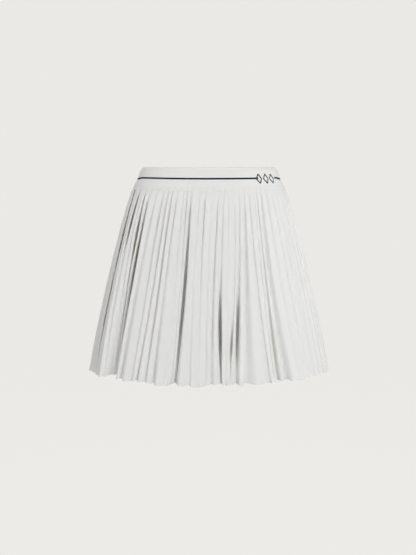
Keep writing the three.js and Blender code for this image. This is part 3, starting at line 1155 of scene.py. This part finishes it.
class Stitcher(NodeModifier):
    """Lays stitches along a path whose points carry the cloth's outward direction."""

    def __init__(self) -> None:
        """Builds the tree."""
        super().__init__("Stitcher")
        graph = self.graph
        pitch, length, radius = self.sizes("Pitch", "Length", "Radius")
        turn, lift, jitter = self.sizes("Turn", "Lift", "Jitter")
        seed = self.size("Seed", "NodeSocketInt")
        path = graph.node("GeometryNodeMeshToCurve", None, {"Mesh": self.source.outputs["Geometry"]})
        spaced = graph.node(
            "GeometryNodeResampleCurve", {"mode": "LENGTH"}, {"Curve": path.outputs[0], "Length": pitch}
        )
        outward = self.attribute("outward", "FLOAT_VECTOR")
        raised = graph.node(
            "GeometryNodeSetPosition",
            None,
            {"Geometry": spaced.outputs[0], "Offset": self.scaled(outward, lift)},
        )
        stitch = self._stitch(length, radius)
        upright = graph.node("FunctionNodeAlignRotationToVector", {"axis": "Z"}, {"Vector": outward})
        tangent = graph.node("GeometryNodeInputTangent").outputs[0]
        aimed = graph.node(
            "FunctionNodeAlignRotationToVector",
            {"axis": "X", "pivot_axis": "Z"},
            {"Rotation": upright.outputs[0], "Vector": tangent},
        )
        random = graph.node("FunctionNodeRandomValue", {"data_type": "FLOAT"}, {"Seed": seed})
        sway = (Value(graph, random.outputs[1]) - 0.5) * jitter + turn
        euler = graph.node("ShaderNodeCombineXYZ", None, {"Z": sway})
        spin = graph.node("FunctionNodeEulerToRotation", None, {0: euler.outputs[0]})
        turned = graph.node(
            "FunctionNodeRotateRotation",
            {"rotation_space": "LOCAL"},
            {"Rotation": aimed.outputs[0], "Rotate By": spin.outputs[0]},
        )
        laid = graph.node(
            "GeometryNodeInstanceOnPoints",
            None,
            {"Points": raised.outputs[0], "Instance": stitch, "Rotation": turned.outputs[0]},
        )
        self.finish(laid.outputs[0])

    def _stitch(self, length: Value, radius: Value) -> bpy.types.NodeSocket:
        """Makes one stitch, a long bead of thread.

        Args:
            length: The stitch's length.
            radius: The thread's radius.

        Returns:
            The stitch, along the X axis.
        """
        node = self.graph.node
        bead = node("GeometryNodeMeshUVSphere", None, {"Segments": 6, "Rings": 4, "Radius": 1.0})
        # The bead's poles are its ends, so its height goes along the stitch.
        size = node("ShaderNodeCombineXYZ", None, {"X": radius, "Y": radius, "Z": length * 0.5})
        shaped = node("GeometryNodeTransform", None, {0: bead.outputs[0], "Scale": size.outputs[0]})
        quarter = (0.0, math.pi / 2, 0.0)
        laid = node("GeometryNodeTransform", None, {0: shaped.outputs[0], "Rotation": quarter})
        return node("GeometryNodeSetShadeSmooth", None, {"Geometry": laid.outputs[0]}).outputs[0]

    def sew(
        self,
        name: str,
        paths: Sequence[StitchPath],
        spec: StitchSpec,
        finish: bpy.types.Material,
        seed: int = 1,
    ) -> bpy.types.Object:
        """Sews stitches along paths.

        Args:
            name: The new piece's name.
            paths: Where they run.
            spec: The kind of stitch.
            finish: The thread's material.
            seed: Picks the stitches' unevenness.

        Returns:
            The stitches, as one plain mesh.
        """
        edges: list[tuple[int, int]] = []
        first = 0
        for path in paths:
            after = first + len(path.points)
            edges += [(i, i + 1) for i in range(first, after - 1)]
            if path.joins:
                edges.append((after - 1, first))
            first = after
        points = np.concatenate([path.points for path in paths])
        mesh = bpy.data.meshes.new(name)
        mesh.from_pydata(points.tolist(), edges, [])
        thing = placed(name, mesh)
        store(thing, "outward", np.concatenate([path.outward for path in paths])[None])
        self.run_on(
            thing,
            {
                "Pitch": spec.pitch * MM,
                "Length": spec.length * MM,
                "Radius": spec.radius * MM,
                "Turn": math.radians(spec.turn),
                "Lift": spec.lift * MM,
                "Jitter": math.radians(spec.jitter),
                "Seed": seed,
                "Finish": finish,
            },
        )
        return settled(thing, name)


# ---- The garment's pieces ----


class Piece:
    """What every finished piece has done to it."""

    @staticmethod
    def attach(thing: bpy.types.Object, slot: Slot, node: str | None = None) -> None:
        """Makes a piece ride on the garment, hides the frame's node that it stands in for, if any, and logs
        its slot.

        Args:
            thing: The piece.
            slot: Its material slot.
            node: The frame's node that it stands in for, if it has one.
        """
        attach(thing, ROOT_BODY)
        if node:
            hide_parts(node)
        log.info("%s: %d faces, slot %s", thing.name, len(thing.data.polygons), slot.value)


@dataclass
class PleatedPanel(Piece):
    """A pleated half of the skirt, from seam to seam, in millimetres.

    Attributes:
        panel: The half that it is.
        folds: Its valleys. Those between are worked out from their neighbours.
        gaps: Where its valleys part.
        node: The frame's node that it stands in for.
        seed: Picks its unevenness.
        sewn: The share of a fold's depth at the band's seam.
        emerge: The share of the length over which a fold reaches its depth.
        least_deep: A fold's least depth.
        top_proud: How far the ridges stand out below the band.
        flush: The share of the length over which they come out.
        rise: Where a ridge begins between two floors, at the band and at the hem, as a share.
        ridge: A ridge's width at the band and at the hem.
        valley_half: Half of the width of a valley's floor.
        least_facing: The smallest Y part of the outward direction that a gap's depth is divided by.
        sag: How much lower the panel's middle hangs at the hem.
        wall: The cloth's thickness.
        hem_height: The height of the hem's fold.
        hem_extra: How far the hem's fold stands out.
        cloth_per_pleat: The cloth in one pleat.
        band_zone: How far below the band the closer rows reach.
        band_rows: How many rows are there.
        main_start: The level of the first even row.
        main_rows: How many even rows there are.
        hem_clear: How far above the hem's fold they end.
        hem_rows: The rows at the hem, as levels below the upper edge of its fold.
        stitch_row: Which of those the hem's stitches lie on, counted from 0.
        hem_line: The path of the hem's stitches, known when the panel is built.
    """

    panel: Panel
    folds: tuple[Fold, ...]
    gaps: tuple[Gap, ...]
    node: str
    seed: float = 0.0
    sewn: float = 0.1
    emerge: float = 0.08
    least_deep: float = 0.2
    top_proud: float = 0.5
    flush: float = 0.02
    rise: tuple[float, float] = (0.3, 0.42)
    ridge: tuple[float, float] = (1.2, 2.6)
    valley_half: float = 0.8
    least_facing: float = 0.45
    sag: float = 4.5
    wall: float = 0.5
    hem_height: float = 7.0
    hem_extra: float = 0.25
    cloth_per_pleat: float = 20.5
    band_zone: float = 16.0
    band_rows: int = 7
    main_start: float = 20.7
    main_rows: int = 60
    hem_clear: float = 2.4
    hem_rows: tuple[float, ...] = (-0.35, 0.35, 2.4, 4.6, 6.4, 7.0)
    stitch_row: int = 1
    hem_line: StitchPath | None = field(default=None, repr=False)

    # A pleat's marks by their phases: its floor's middle and end, its ridge's start and end, and
    # the next floor's start and middle.
    MARKS = (0.0, 0.08, 0.4, 0.48, 0.92, 1.0)
    LAYERS = ("outward", "forward", "valley_out", "ridge_out", "gap")

    # How uneven the depths of the valleys between the listed ones are, and how fast the depths
    # and the bulges change from one such valley to the next, in radians.
    BETWEEN_UNEVEN = 0.2
    DEPTH_TURN = 2.4
    BULGE_TURN = 1.7

    def levels(self) -> np.ndarray:
        """Spaces the rows, closer at the band and at the hem.

        Returns:
            Their distances below the skirt's top.
        """
        edge = SKIRT_LENGTH - self.hem_height
        near_band = np.linspace(0, self.band_zone, self.band_rows)
        even = np.linspace(self.main_start, edge - self.hem_clear, self.main_rows)
        return np.concatenate([near_band, even, edge + np.array(self.hem_rows)])

    def pleat_table(self) -> dict[str, np.ndarray]:
        """Works out every valley's values.

        Returns:
            The values, by their names in Fold.
        """
        listed = [fold.valley for fold in self.folds]
        valleys = np.arange(PLEATS + 1)
        between = ~np.isin(valleys, listed)
        table = {}
        for column in fields(Fold)[1:]:
            rows = [getattr(fold, column.name) for fold in self.folds]
            table[column.name] = np.interp(valleys, listed, rows)
        uneven = np.where(between, 1 + self.BETWEEN_UNEVEN * np.sin(self.DEPTH_TURN * valleys), 1.0)
        for name in ("top_deep", "mid_deep", "hem_deep"):
            table[name] *= uneven
        table["bulge"] = np.where(between, np.sin(self.BULGE_TURN * valleys), table["bulge"])
        return table

    @staticmethod
    def down_skirt(drop: float, top: np.ndarray, mid: np.ndarray, hem: np.ndarray) -> np.ndarray:
        """Returns a smooth value that is top at the band, mid half way and hem at the hem."""
        return lerp(top, hem, drop) + 4 * drop * (1 - drop) * (mid - (top + hem) / 2)

    def valleys_at(
        self, drop: float, table: dict[str, np.ndarray], length: float
    ) -> tuple[np.ndarray, ...]:
        """Works out the valleys at one level.

        Args:
            drop: The share of the skirt's length.
            table: What pleat_table returns.
            length: The panel's length along its outer line there.

        Returns:
            The start and the end of each valley's floor along the line, its depth and its gap's.
        """
        middle = np.arange(PLEATS + 1) * length / PLEATS
        middle += self.down_skirt(drop, table["top"], table["mid"], table["hem"])
        deep = self.down_skirt(drop, table["top_deep"], table["mid_deep"], table["hem_deep"])
        deep = np.maximum(deep, self.least_deep) * (1 - (1 - self.sewn) * math.exp(-drop / self.emerge))
        parted, half = np.zeros(PLEATS + 1), np.full(PLEATS + 1, self.valley_half)
        for gap in self.gaps:
            parted[gap.valley] += gap.deep * gap.parted(drop)
            half[gap.valley] += gap.open * gap.parted(drop)
        start, end = middle - half, middle + half
        start[0], end[-1] = SEAM_GAP / 2, length - SEAM_GAP / 2
        return start, end, deep, parted

    def marks_at(self, drop: float, start: np.ndarray, end: np.ndarray) -> np.ndarray:
        """Works out where each pleat has its marks at one level.

        Args:
            drop: The share of the skirt's length.
            start: Where each valley's floor starts along the line.
            end: Where it ends.

        Returns:
            A row for each of MARKS, with a place for each pleat.
        """
        ridge = lerp(*self.ridge, drop)
        first = end[:-1] + lerp(*self.rise, drop) * (start[1:] - end[:-1] - ridge)
        floor = [(start[:-1] + end[:-1]) / 2, (start[1:] + end[1:]) / 2]
        floor[0][0], floor[1][-1] = start[0], end[-1]
        return np.stack([floor[0], end[:-1], first, first + ridge, start[1:], floor[1]])

    def sheet(self, name: str) -> bpy.types.Object:
        """Makes the unfolded sheet on the garment's outer line, with its pleats as attributes.

        Args:
            name: The sheet's name.

        Returns:
            The sheet.
        """
        table = self.pleat_table()
        phases = [point.phase for point in PLEAT_SECTION[:-1]]
        phase = np.append(np.tile(phases, PLEATS), 1.0)
        pleat = np.append(np.repeat(np.arange(PLEATS), len(phases)), PLEATS - 1)
        valley = np.where(phase < 0.5, pleat, pleat + 1)
        in_gap = np.interp(phase, *zip(*GAP_SECTION))
        rows: dict[str, list[np.ndarray]] = {key: [] for key in ("point", "cloth", *self.LAYERS)}
        levels = self.levels()
        for level in levels:
            drop = level / SKIRT_LENGTH
            line = HalfLine(GARMENT.at(SKIRT_TOP - level), self.panel)
            start, end, deep, parted = self.valleys_at(drop, table, line.length)
            marks = self.marks_at(drop, start, end)
            along = np.array([np.interp(p, self.MARKS, marks[:, i]) for p, i in zip(phase, pleat)])
            bulge = table["bulge"] * drop**2
            lower = np.minimum(bulge, np.roll(bulge, 1))
            lower[0] = bulge[0]
            proud = self.top_proud * (1 - drop) ** 4 * (1 - math.exp(-drop / self.flush))
            proud += self.hem_extra * float(level > SKIRT_LENGTH - self.hem_height)
            points, outward, forward = line.frame(along)
            sag = self.sag * (drop * np.sin(np.pi * along / line.length)) ** 2
            rows["point"].append(np.column_stack([points, SKIRT_TOP - level - sag]) * MM)
            rows["outward"].append(np.pad(outward, ((0, 0), (0, 1))))
            rows["forward"].append(np.pad(forward, ((0, 0), (0, 1))))
            rows["valley_out"].append((proud + lower[valley] - deep[valley]) * MM)
            back = parted[valley] * in_gap / np.maximum(np.abs(outward[:, 1]), self.least_facing)
            rows["gap"].append(np.outer(back * MM, (0.0, -self.panel.value, 0.0)))
            rows["ridge_out"].append((proud + bulge[pleat]) * MM)
            cloth = np.column_stack([(pleat + phase) * self.cloth_per_pleat, np.full(len(phase), -level)])
            rows["cloth"].append(cloth * MM)
        grid = {key: np.array(value) for key, value in rows.items()}
        sheet = GridMesh(grid["point"]).build(name, grid["cloth"], flip=self.panel is Panel.BACK)
        for key in self.LAYERS:
            store(sheet, key, grid[key])
        store(sheet, "phase", np.tile(phase, (len(levels), 1)))
        store(sheet, "drop", np.tile(levels[:, None] / SKIRT_LENGTH, (1, len(phase))))
        return sheet

    def build(self, folder: PleatFolder, finish: bpy.types.Material) -> bpy.types.Object:
        """Makes the pleated panel.

        Args:
            folder: The tree that folds the sheet.
            finish: The cloth.

        Returns:
            The finished piece.
        """
        name = f"pleated_{self.panel.name.lower()}"
        sheet = self.sheet(f"{name}_sheet")
        folder.fold(sheet, finish, self.seed)
        folded = settled(sheet, f"{name}_folded")
        self.hem_line = self.read_row(folded, self.stitch_row - len(self.hem_rows))
        thicken(folded, self.wall)
        piece = settled(folded, name)
        for key in (*self.LAYERS, "phase", "drop"):
            piece.data.attributes.remove(piece.data.attributes[key])
        crisp(piece)
        self.attach(piece, Slot.PLEATS, self.node)
        return piece

    def read_row(self, folded: bpy.types.Object, row: int) -> StitchPath:
        """Reads a path off the folded sheet.

        Args:
            folded: The folded sheet.
            row: Its row, counted back from the end.

        Returns:
            The row's points and the cloth's directions there.
        """
        found = []
        for key in ("co", "normal"):
            values = np.empty(len(folded.data.vertices) * 3, np.float32)
            folded.data.vertices.foreach_get(key, values)
            found.append(values.reshape(len(self.levels()), -1, 3)[row].astype(float))
        return StitchPath(*found)


@dataclass
class Waistband(Piece):
    """The knit band over elastic, in millimetres.

    Attributes:
        node: The frame's node that it stands in for.
        wall: Its thickness, of two layers of knit over elastic.
        fold_radius: The radius of its fold at the top.
        foot_radius: The radius of its edges at the foot.
        foot_drop: How far its foot laps over the skirt's seam.
        strip: The heights between which its foot is gathered.
        strip_ease: The heights over which the gathers fade, below the strip and at its top.
        strip_relief: How deep the gathers are.
        channels: The heights of its two rows of stitches.
        channel_half: Half of the height that a row draws in.
        channel_deep: How deep a row draws the knit in.
        flat_radius: The cloth's length for a radian of the ring.
        fold_points: How many points the fold has in the wall's section.
        edge_points: How many each edge at the foot has.
        outside_points: How many the outer face has, with its ends.
        inside_points: How many the inner face has, with its ends.
        columns: How many steps it has round.
        stitch_columns: How many steps a row of stitches has round.
        crease: The least angle of a sharp edge, in degrees.
    """

    node: str = "waistband"
    wall: float = 2.0
    fold_radius: float = 1.0
    foot_radius: float = 0.12
    foot_drop: float = 0.25
    strip: tuple[float, float] = (-19.2, -14.6)
    strip_ease: tuple[float, float] = (0.9, 1.2)
    strip_relief: float = 0.6
    channels: tuple[float, ...] = (-14.4, -18.4)
    channel_half: float = 0.55
    channel_deep: float = 0.35
    flat_radius: float = 110.0
    fold_points: int = 9
    edge_points: int = 4
    outside_points: int = 44
    inside_points: int = 12
    columns: int = 76 * 8
    stitch_columns: int = 720
    crease: float = 60.0

    # A point of the section with less inset than this is on the outer face.
    OUTER_INSET = 0.01

    @staticmethod
    def arc(middle: tuple[float, float], radius: float, turns: np.ndarray) -> list[tuple[float, float]]:
        """Returns an arc of the section, at angles in radians."""
        return [(middle[0] + radius * math.cos(a), middle[1] + radius * math.sin(a)) for a in turns]

    def section(self) -> list[tuple[float, float]]:
        """Draws the wall's closed section.

        Returns:
            Its points as (inset, height), over the top, down the outside and up the inside.
        """
        quarter = math.pi / 2
        fold, edge = self.fold_radius, self.foot_radius
        shoulder, ankle = BAND_TOP - fold, BAND_FOOT - self.foot_drop + edge
        over = self.arc((fold, shoulder), fold, np.linspace(0, 2 * quarter, self.fold_points))
        outside = [(0.0, z) for z in np.linspace(shoulder, ankle, self.outside_points)[1:-1]]
        under = self.arc((edge, ankle), edge, np.linspace(2 * quarter, 3 * quarter, self.edge_points))
        back = self.arc((self.wall - edge, ankle), edge, np.linspace(-quarter, 0, self.edge_points))
        inside = [(self.wall, z) for z in np.linspace(ankle, shoulder, self.inside_points)[1:-1]]
        return over + outside + under + back + inside

    @staticmethod
    def oval(turns: np.ndarray, z: float) -> tuple[float, np.ndarray]:
        """Returns the half width of the band's line at a height, and its depth at each turn."""
        half_width, front, back = GARMENT.at(z)
        return half_width, np.where(np.cos(turns) > 0, front, back)

    def surface(self, turns: np.ndarray, z: float, inset: float | np.ndarray = 0.0) -> np.ndarray:
        """Finds points on the band's line at a height.

        Args:
            turns: The angles round the band, from the middle of the front.
            z: The height.
            inset: How far the points are moved in.

        Returns:
            The points.
        """
        half_width, depth = self.oval(turns, z)
        x = (half_width - inset) * np.sin(turns)
        y = -(depth - inset) * np.cos(turns)
        return np.column_stack([x, y, np.full(len(turns), z)])

    def outward(self, turns: np.ndarray, z: float) -> np.ndarray:
        """Finds the band's outward directions at a height.

        Args:
            turns: The angles round the band.
            z: The height.

        Returns:
            A direction for each angle.
        """
        half_width, depth = self.oval(turns, z)
        across = np.column_stack([depth * np.sin(turns), -half_width * np.cos(turns), np.zeros(len(turns))])
        return across / np.linalg.norm(across, axis=1, keepdims=True)

    def relief(self, turns: np.ndarray, z: float) -> np.ndarray:
        """Works out the gathers and the rows of stitches in the band's outer face.

        Args:
            turns: The angles round the band.
            z: The height.

        Returns:
            How far the face sinks at each turn.
        """
        low, high = self.strip
        ease_low, ease_high = self.strip_ease
        inside = smooth_step(low - ease_low, low, z) * (1 - smooth_step(high - ease_high, high, z))
        bumps = 0.5 - 0.5 * np.cos(turns * 2 * PLEATS)
        groove = sum(math.exp(-(((z - channel) / self.channel_half) ** 2)) for channel in self.channels)
        return inside * self.strip_relief * bumps + groove * self.channel_deep

    def build(self, finish: bpy.types.Material) -> bpy.types.Object:
        """Makes the band.

        Args:
            finish: Its cloth.

        Returns:
            The finished piece.
        """
        turns = np.linspace(0, 2 * math.pi, self.columns, endpoint=False)
        rows, cloth = [], []
        run = 0.0
        section = self.section()
        for i, (inset, z) in enumerate(section):
            sink = self.relief(turns, z) if inset < self.OUTER_INSET else 0.0
            rows.append(self.surface(turns, z, inset + sink) * MM)
            run += math.dist(section[i - 1], (inset, z)) if i else 0.0
            cloth.append(np.column_stack([turns * self.flat_radius, np.full(len(turns), -run)]) * MM)
        piece = GridMesh(np.array(rows), around=True, closed=True).build("band_knit_ring", np.array(cloth))
        piece.data.materials.append(finish)
        crisp(piece, self.crease)
        self.attach(piece, Slot.BAND, self.node)
        return piece

    def stitch_lines(self) -> list[StitchPath]:
        """Returns the paths of the two rows of stitches at the band's foot."""
        turns = np.linspace(0, 2 * math.pi, self.stitch_columns, endpoint=False)
        return [
            StitchPath(self.surface(turns, z, self.channel_deep) * MM, self.outward(turns, z), joins=True)
            for z in self.channels
        ]


@dataclass
class Motif(Piece):
    """A generic ornament on the band, three lozenges in satin stitch, in millimetres.

    Attributes:
        band: The band that it is sewn on.
        count: How many lozenges there are.
        first_turn: The first one's angle round the band, in radians from the front.
        last_turn: The last one's.
        half_wide: Half of a lozenge's width.
        half_high: Half of its height.
        side_points: How many points each of its sides has.
    """

    band: Waistband
    count: int = 3
    first_turn: float = 0.755
    last_turn: float = 1.04
    half_wide: float = 5.6
    half_high: float = 8.0
    side_points: int = 8

    CORNERS = ((0, 1), (1, 0), (0, -1), (-1, 0), (0, 1))

    def paths(self) -> list[StitchPath]:
        """Draws the lozenges on the band.

        Returns:
            The outline of each.
        """
        half_width, front, _ = GARMENT.at(0.0)
        lines = []
        for middle in np.linspace(self.first_turn, self.last_turn, self.count):
            run = math.hypot(half_width * math.cos(middle), front * math.sin(middle))
            points, outward = [], []
            for (u0, v0), (u1, v1) in zip(self.CORNERS, self.CORNERS[1:]):
                for share in np.linspace(0, 1, self.side_points, endpoint=False):
                    turn = np.array([middle + lerp(u0, u1, share) * self.half_wide / run])
                    z = lerp(v0, v1, share) * self.half_high
                    points.append(self.band.surface(turn, z)[0] * MM)
                    outward.append(self.band.outward(turn, z)[0])
            lines.append(StitchPath(np.array(points), np.array(outward), joins=True))
        return lines


@dataclass
class ShortsLeg(Piece):
    """One leg of the inner shorts, sewn to the other at the middle, in millimetres.

    Attributes:
        leg: The wearer's leg.
        node: The frame's node that it stands in for.
        wall: The jersey's thickness.
        rise_start: The height where the seat begins to part into two legs.
        crotch: The height of the crotch.
        leg_gap: How far a leg's inside is from the middle at the hem.
        columns: How many steps it has round.
        stitch_columns: How many steps a row of stitches has round.
        body_rows: How many rows it has above the seat.
        rise_rows: How many it has from there down to the crotch.
        leg_rows: How many it has from there down to the hem.
        hem_rows: How many it has at the hem.
        hem_height: The hem's height.
        hem_blend: Half of the height over which the hem steps out.
        hem_extra: How far the hem stands out.
        stitch_drop: How far below the hem's top the upper row of stitches is.
        needle_gap: The distance between its two rows.
        flat_round: The length round the leg that the knit's loops are laid out on.
    """

    leg: Leg
    node: str
    wall: float = 1.0
    rise_start: float = -151.0
    crotch: float = -246.0
    leg_gap: float = 5.0
    columns: int = 120
    stitch_columns: int = 240
    body_rows: int = 34
    rise_rows: int = 26
    leg_rows: int = 12
    hem_rows: int = 8
    hem_height: float = 18.0
    hem_blend: float = 0.4
    hem_extra: float = 0.3
    stitch_drop: float = 1.5
    needle_gap: float = 3.2
    flat_round: float = 480.0

    def levels(self) -> np.ndarray:
        """Spaces the rows, closer round the crotch and at the hem.

        Returns:
            Their heights, from the top down.
        """
        hem_top = SHORTS_HEM + self.hem_height
        body = np.linspace(SHORTS_TOP, self.rise_start, self.body_rows)
        eased = np.sin(np.linspace(0, math.pi / 2, self.rise_rows))
        rise = lerp(self.rise_start, self.crotch, eased)
        leg = np.linspace(self.crotch, hem_top + self.hem_blend, self.leg_rows)
        hem = np.linspace(hem_top - self.hem_blend, SHORTS_HEM, self.hem_rows)
        return np.concatenate([body[:-1], rise, leg[1:], hem])

    def line(self, z: float, out: float = 0.0, columns: int | None = None) -> np.ndarray:
        """Returns the leg's outer line at a height.

        Args:
            z: The height.
            out: How far the line is moved outwards.
            columns: How many steps it has.

        Returns:
            Its points, from the middle of the front round the outside to the middle of the back.
        """
        half_width, front, back = SHORTS.at(z) + out
        middle = SEAM_GAP / 2
        down = float(np.clip((self.rise_start - z) / (self.rise_start - self.crotch), 0, 1))
        closed = 1 - math.sqrt(1 - down * down)
        below = float(np.clip((self.crotch - z) / (self.crotch - SHORTS_HEM), 0, 1))
        inside = lerp(middle, self.leg_gap, below)
        share = np.linspace(0, 1, (columns or self.columns) + 1)
        depth = np.where(share < 0.5, front, back)
        body_x = middle + (half_width - middle) * np.sin(math.pi * share)
        body_y = -depth * np.cos(math.pi * share)
        centre_x, radius_x = (half_width + inside) / 2, (half_width - inside) / 2
        centre_y, radius_y = (back - front) / 2, (back + front) / 2
        seam = middle / radius_y
        whole = lerp(seam, 2 * math.pi - seam, share)
        x = lerp(body_x, centre_x - radius_x * np.cos(whole), closed)
        y = lerp(body_y, centre_y - radius_y * np.sin(whole), closed)
        return np.column_stack([self.leg.value * x, y, np.full(len(share), z)])

    def build(self, finish: bpy.types.Material) -> bpy.types.Object:
        """Makes the leg.

        Args:
            finish: Its cloth.

        Returns:
            The finished piece.
        """
        rows, cloth = [], []
        flat = np.linspace(0, self.flat_round, self.columns + 1)
        for z in self.levels():
            extra = self.hem_extra if z < SHORTS_HEM + self.hem_height else 0.0
            rows.append(self.line(z, extra) * MM)
            cloth.append(np.column_stack([flat, np.full(len(flat), z)]) * MM)
        name = f"shorts_{self.leg.name.lower()}"
        sheet = GridMesh(np.array(rows)).build(f"{name}_sheet", np.array(cloth), flip=self.leg is Leg.RIGHT)
        sheet.data.materials.append(finish)
        thicken(sheet, self.wall)
        piece = settled(sheet, name)
        crisp(piece)
        self.attach(piece, Slot.SHORTS, self.node)
        return piece

    def stitch_lines(self) -> list[StitchPath]:
        """Draws the two rows of the hem's twin needle.

        Returns:
            Their paths.
        """
        lines = []
        top = SHORTS_HEM + self.hem_height - self.stitch_drop
        for z in (top, top - self.needle_gap):
            points = self.line(z, self.hem_extra, self.stitch_columns)
            along = np.gradient(points, axis=0)
            outward = np.column_stack([along[:, 1], -along[:, 0], np.zeros(len(along))]) * self.leg.value
            outward /= np.linalg.norm(outward, axis=1, keepdims=True)
            lines.append(StitchPath(points * MM, outward))
        return lines


# ---- Studio ----


@dataclass(frozen=True)
class Softbox:
    """A soft studio light, aimed at the garment.

    Attributes:
        name: What the light is called.
        azimuth: Its angle round the garment in degrees, from the front towards +X.
        elevation: Its angle above the level in degrees.
        power: Its power in watts.
        size: How wide its round face is, in metres.
    """

    name: str
    azimuth: float
    elevation: float
    power: float
    size: float = 1.2

    def place(self, aim: Vector, reach: float) -> Vector:
        """Finds where it hangs.

        Args:
            aim: What it is aimed at.
            reach: How far it is from there.

        Returns:
            Its place.
        """
        azimuth, elevation = math.radians(self.azimuth), math.radians(self.elevation)
        level = Vector((math.sin(azimuth), -math.cos(azimuth), 0.0)) * math.cos(elevation)
        return aim + reach * (level + Vector((0.0, 0.0, math.sin(elevation))))


@dataclass
class Studio:
    """The floor and backdrop, the lights and the camera. Places are in metres.

    Attributes:
        floor_z: The floor's height.
        floor_reaches: The radii of the floor's rings, the first of which all but closes its middle.
        dome_radius: How wide the dome round it is.
        dome_height: How high it is.
        dome_rings: How many rings it has.
        dome_sides: How many sides a ring has.
        pale: The paper's colour.
        paper_base: What it takes from the lights, nearly nothing, so that it stays even.
        aim: What the lights are aimed at.
        reach: How far they are from there.
        ambient: The strength of the room's light.
        room: The room's colour.
        cool: The lights' colour.
        lights: The lights.
        camera_place: Where the camera is.
        camera_pitch: How far it looks down, in degrees.
        lens: Its lens, in millimetres.
    """

    floor_z: float = -0.95
    floor_reaches: tuple[float, ...] = (0.0002, 3.0, 6.0)
    dome_radius: float = 9.0
    dome_height: float = 7.0
    dome_rings: int = 28
    dome_sides: int = 64
    pale: Colour = (0.823, 0.815, 0.783, 1.0)
    paper_base: Colour = (0.02, 0.02, 0.02, 1.0)
    aim: tuple[float, float, float] = (0.0, 0.0, -0.17)
    reach: float = 2.5
    ambient: float = 0.05
    room: Colour = (1.0, 0.99, 0.9, 1.0)
    cool: tuple[float, float, float] = (0.974, 0.97, 1.012)
    lights: tuple[Softbox, ...] = (
        Softbox("Key", 28.0, 12.0, 31.0),
        Softbox("Left", -52.0, 10.0, 11.0),
        Softbox("Upper left", -80.0, 40.0, 27.0),
        Softbox("Low", 5.0, -38.0, 14.5),
        Softbox("Upper right", 80.0, 40.0, 16.0),
        Softbox("Right", 100.0, 10.0, 13.0),
        Softbox("Rear", 180.0, 25.0, 26.0),
    )
    camera_place: tuple[float, float, float] = (-0.0015, -2.25, 0.027)
    camera_pitch: float = 5.23
    lens: float = 81.0

    def backdrop(self) -> None:
        """Makes a pale floor that sweeps up all round into a dome."""
        profile = [(reach, self.floor_z) for reach in self.floor_reaches]
        for angle in np.linspace(0, math.pi / 2, self.dome_rings)[:-1]:
            rise = self.dome_height * math.sin(angle)
            profile.append((self.dome_radius * math.cos(angle), self.floor_z + rise))
        turns = np.linspace(0, 2 * math.pi, self.dome_sides, endpoint=False)
        points = [[(r * math.cos(a), r * math.sin(a), z) for a in turns] for r, z in profile]
        floor = GridMesh(np.array(points), around=True).build("studio_floor", flip=True)
        paper, graph, shader = new_material("Pale_paper")
        graph.feed(
            shader,
            {
                "Base Color": self.paper_base,
                "Roughness": 1.0,
                "Specular IOR Level": 0.0,
                "Emission Color": self.pale,
                "Emission Strength": 1.0,
            },
        )
        floor.data.materials.append(paper)
        for lit_by in ("visible_diffuse", "visible_glossy", "visible_transmission", "visible_shadow"):
            setattr(floor, lit_by, False)

    def light(self) -> None:
        """Hangs the lights, and sets the even light of the room."""
        aim = Vector(self.aim)
        for box in self.lights:
            data = bpy.data.lights.new(box.name, "AREA")
            data.shape = "DISK"
            data.size = box.size
            data.energy = box.power
            data.color = self.cool
            lamp = placed(box.name, data)
            lamp.location = box.place(aim, self.reach)
            lamp.rotation_euler = (aim - lamp.location).to_track_quat("-Z", "Y").to_euler()
            lamp.visible_camera = False
        world = bpy.data.worlds.new("Room")
        world.use_nodes = True
        background = world.node_tree.nodes["Background"]
        Graph(world.node_tree).feed(background, {"Color": self.room, "Strength": self.ambient})
        bpy.context.scene.world = world

    def camera(self) -> None:
        """Sets the camera in front, a little above the waist."""
        data = bpy.data.cameras.new("Camera")
        data.lens = self.lens
        camera = placed("Camera", data)
        camera.location = self.camera_place
        camera.rotation_euler = (math.radians(90 - self.camera_pitch), 0.0, 0.0)
        bpy.context.scene.camera = camera

    def build(self) -> None:
        """Makes the whole studio."""
        self.backdrop()
        self.light()
        self.camera()
        bpy.context.scene.view_settings.view_transform = "Standard"


# ---- The whole garment ----


def main() -> None:
    """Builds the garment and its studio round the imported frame."""
    logging.basicConfig(level=logging.INFO, format="%(name)s: %(message)s")
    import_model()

    pleated = PLEATED_CLOTH.material()
    band_cloth = BAND_KNIT.material(StripeSpec())
    jersey = SHORTS_KNIT.material()
    white, navy = WHITE_THREAD.material(), NAVY_THREAD.material()
    folder, stitcher = PleatFolder(PleatShape()), Stitcher()

    band = Waistband()
    band.build(band_cloth)
    Piece.attach(stitcher.sew("band_stitches", band.stitch_lines(), COVER_STITCH, white), Slot.BAND)
    Piece.attach(stitcher.sew("band_motif", Motif(band).paths(), SATIN_STITCH, navy, seed=5), Slot.BAND)

    panels = (
        PleatedPanel(Panel.FRONT, FRONT_FOLDS, FRONT_GAPS, "skirt_front"),
        PleatedPanel(Panel.BACK, BACK_FOLDS, BACK_GAPS, "skirt_back", seed=9.0),
    )
    for panel in panels:
        panel.build(folder, pleated)
    hems = [panel.hem_line for panel in panels]
    Piece.attach(stitcher.sew("hem_stitches", hems, HEM_STITCH, white), Slot.PLEATS)

    leg_paths = []
    for side in Leg:
        leg = ShortsLeg(side, f"shorts_leg_{side.name.lower()}")
        leg.build(jersey)
        leg_paths += leg.stitch_lines()
    Piece.attach(stitcher.sew("shorts_stitches", leg_paths, TWIN_NEEDLE, white), Slot.SHORTS)

    Studio().build()


if __name__ == "__main__":
    main()
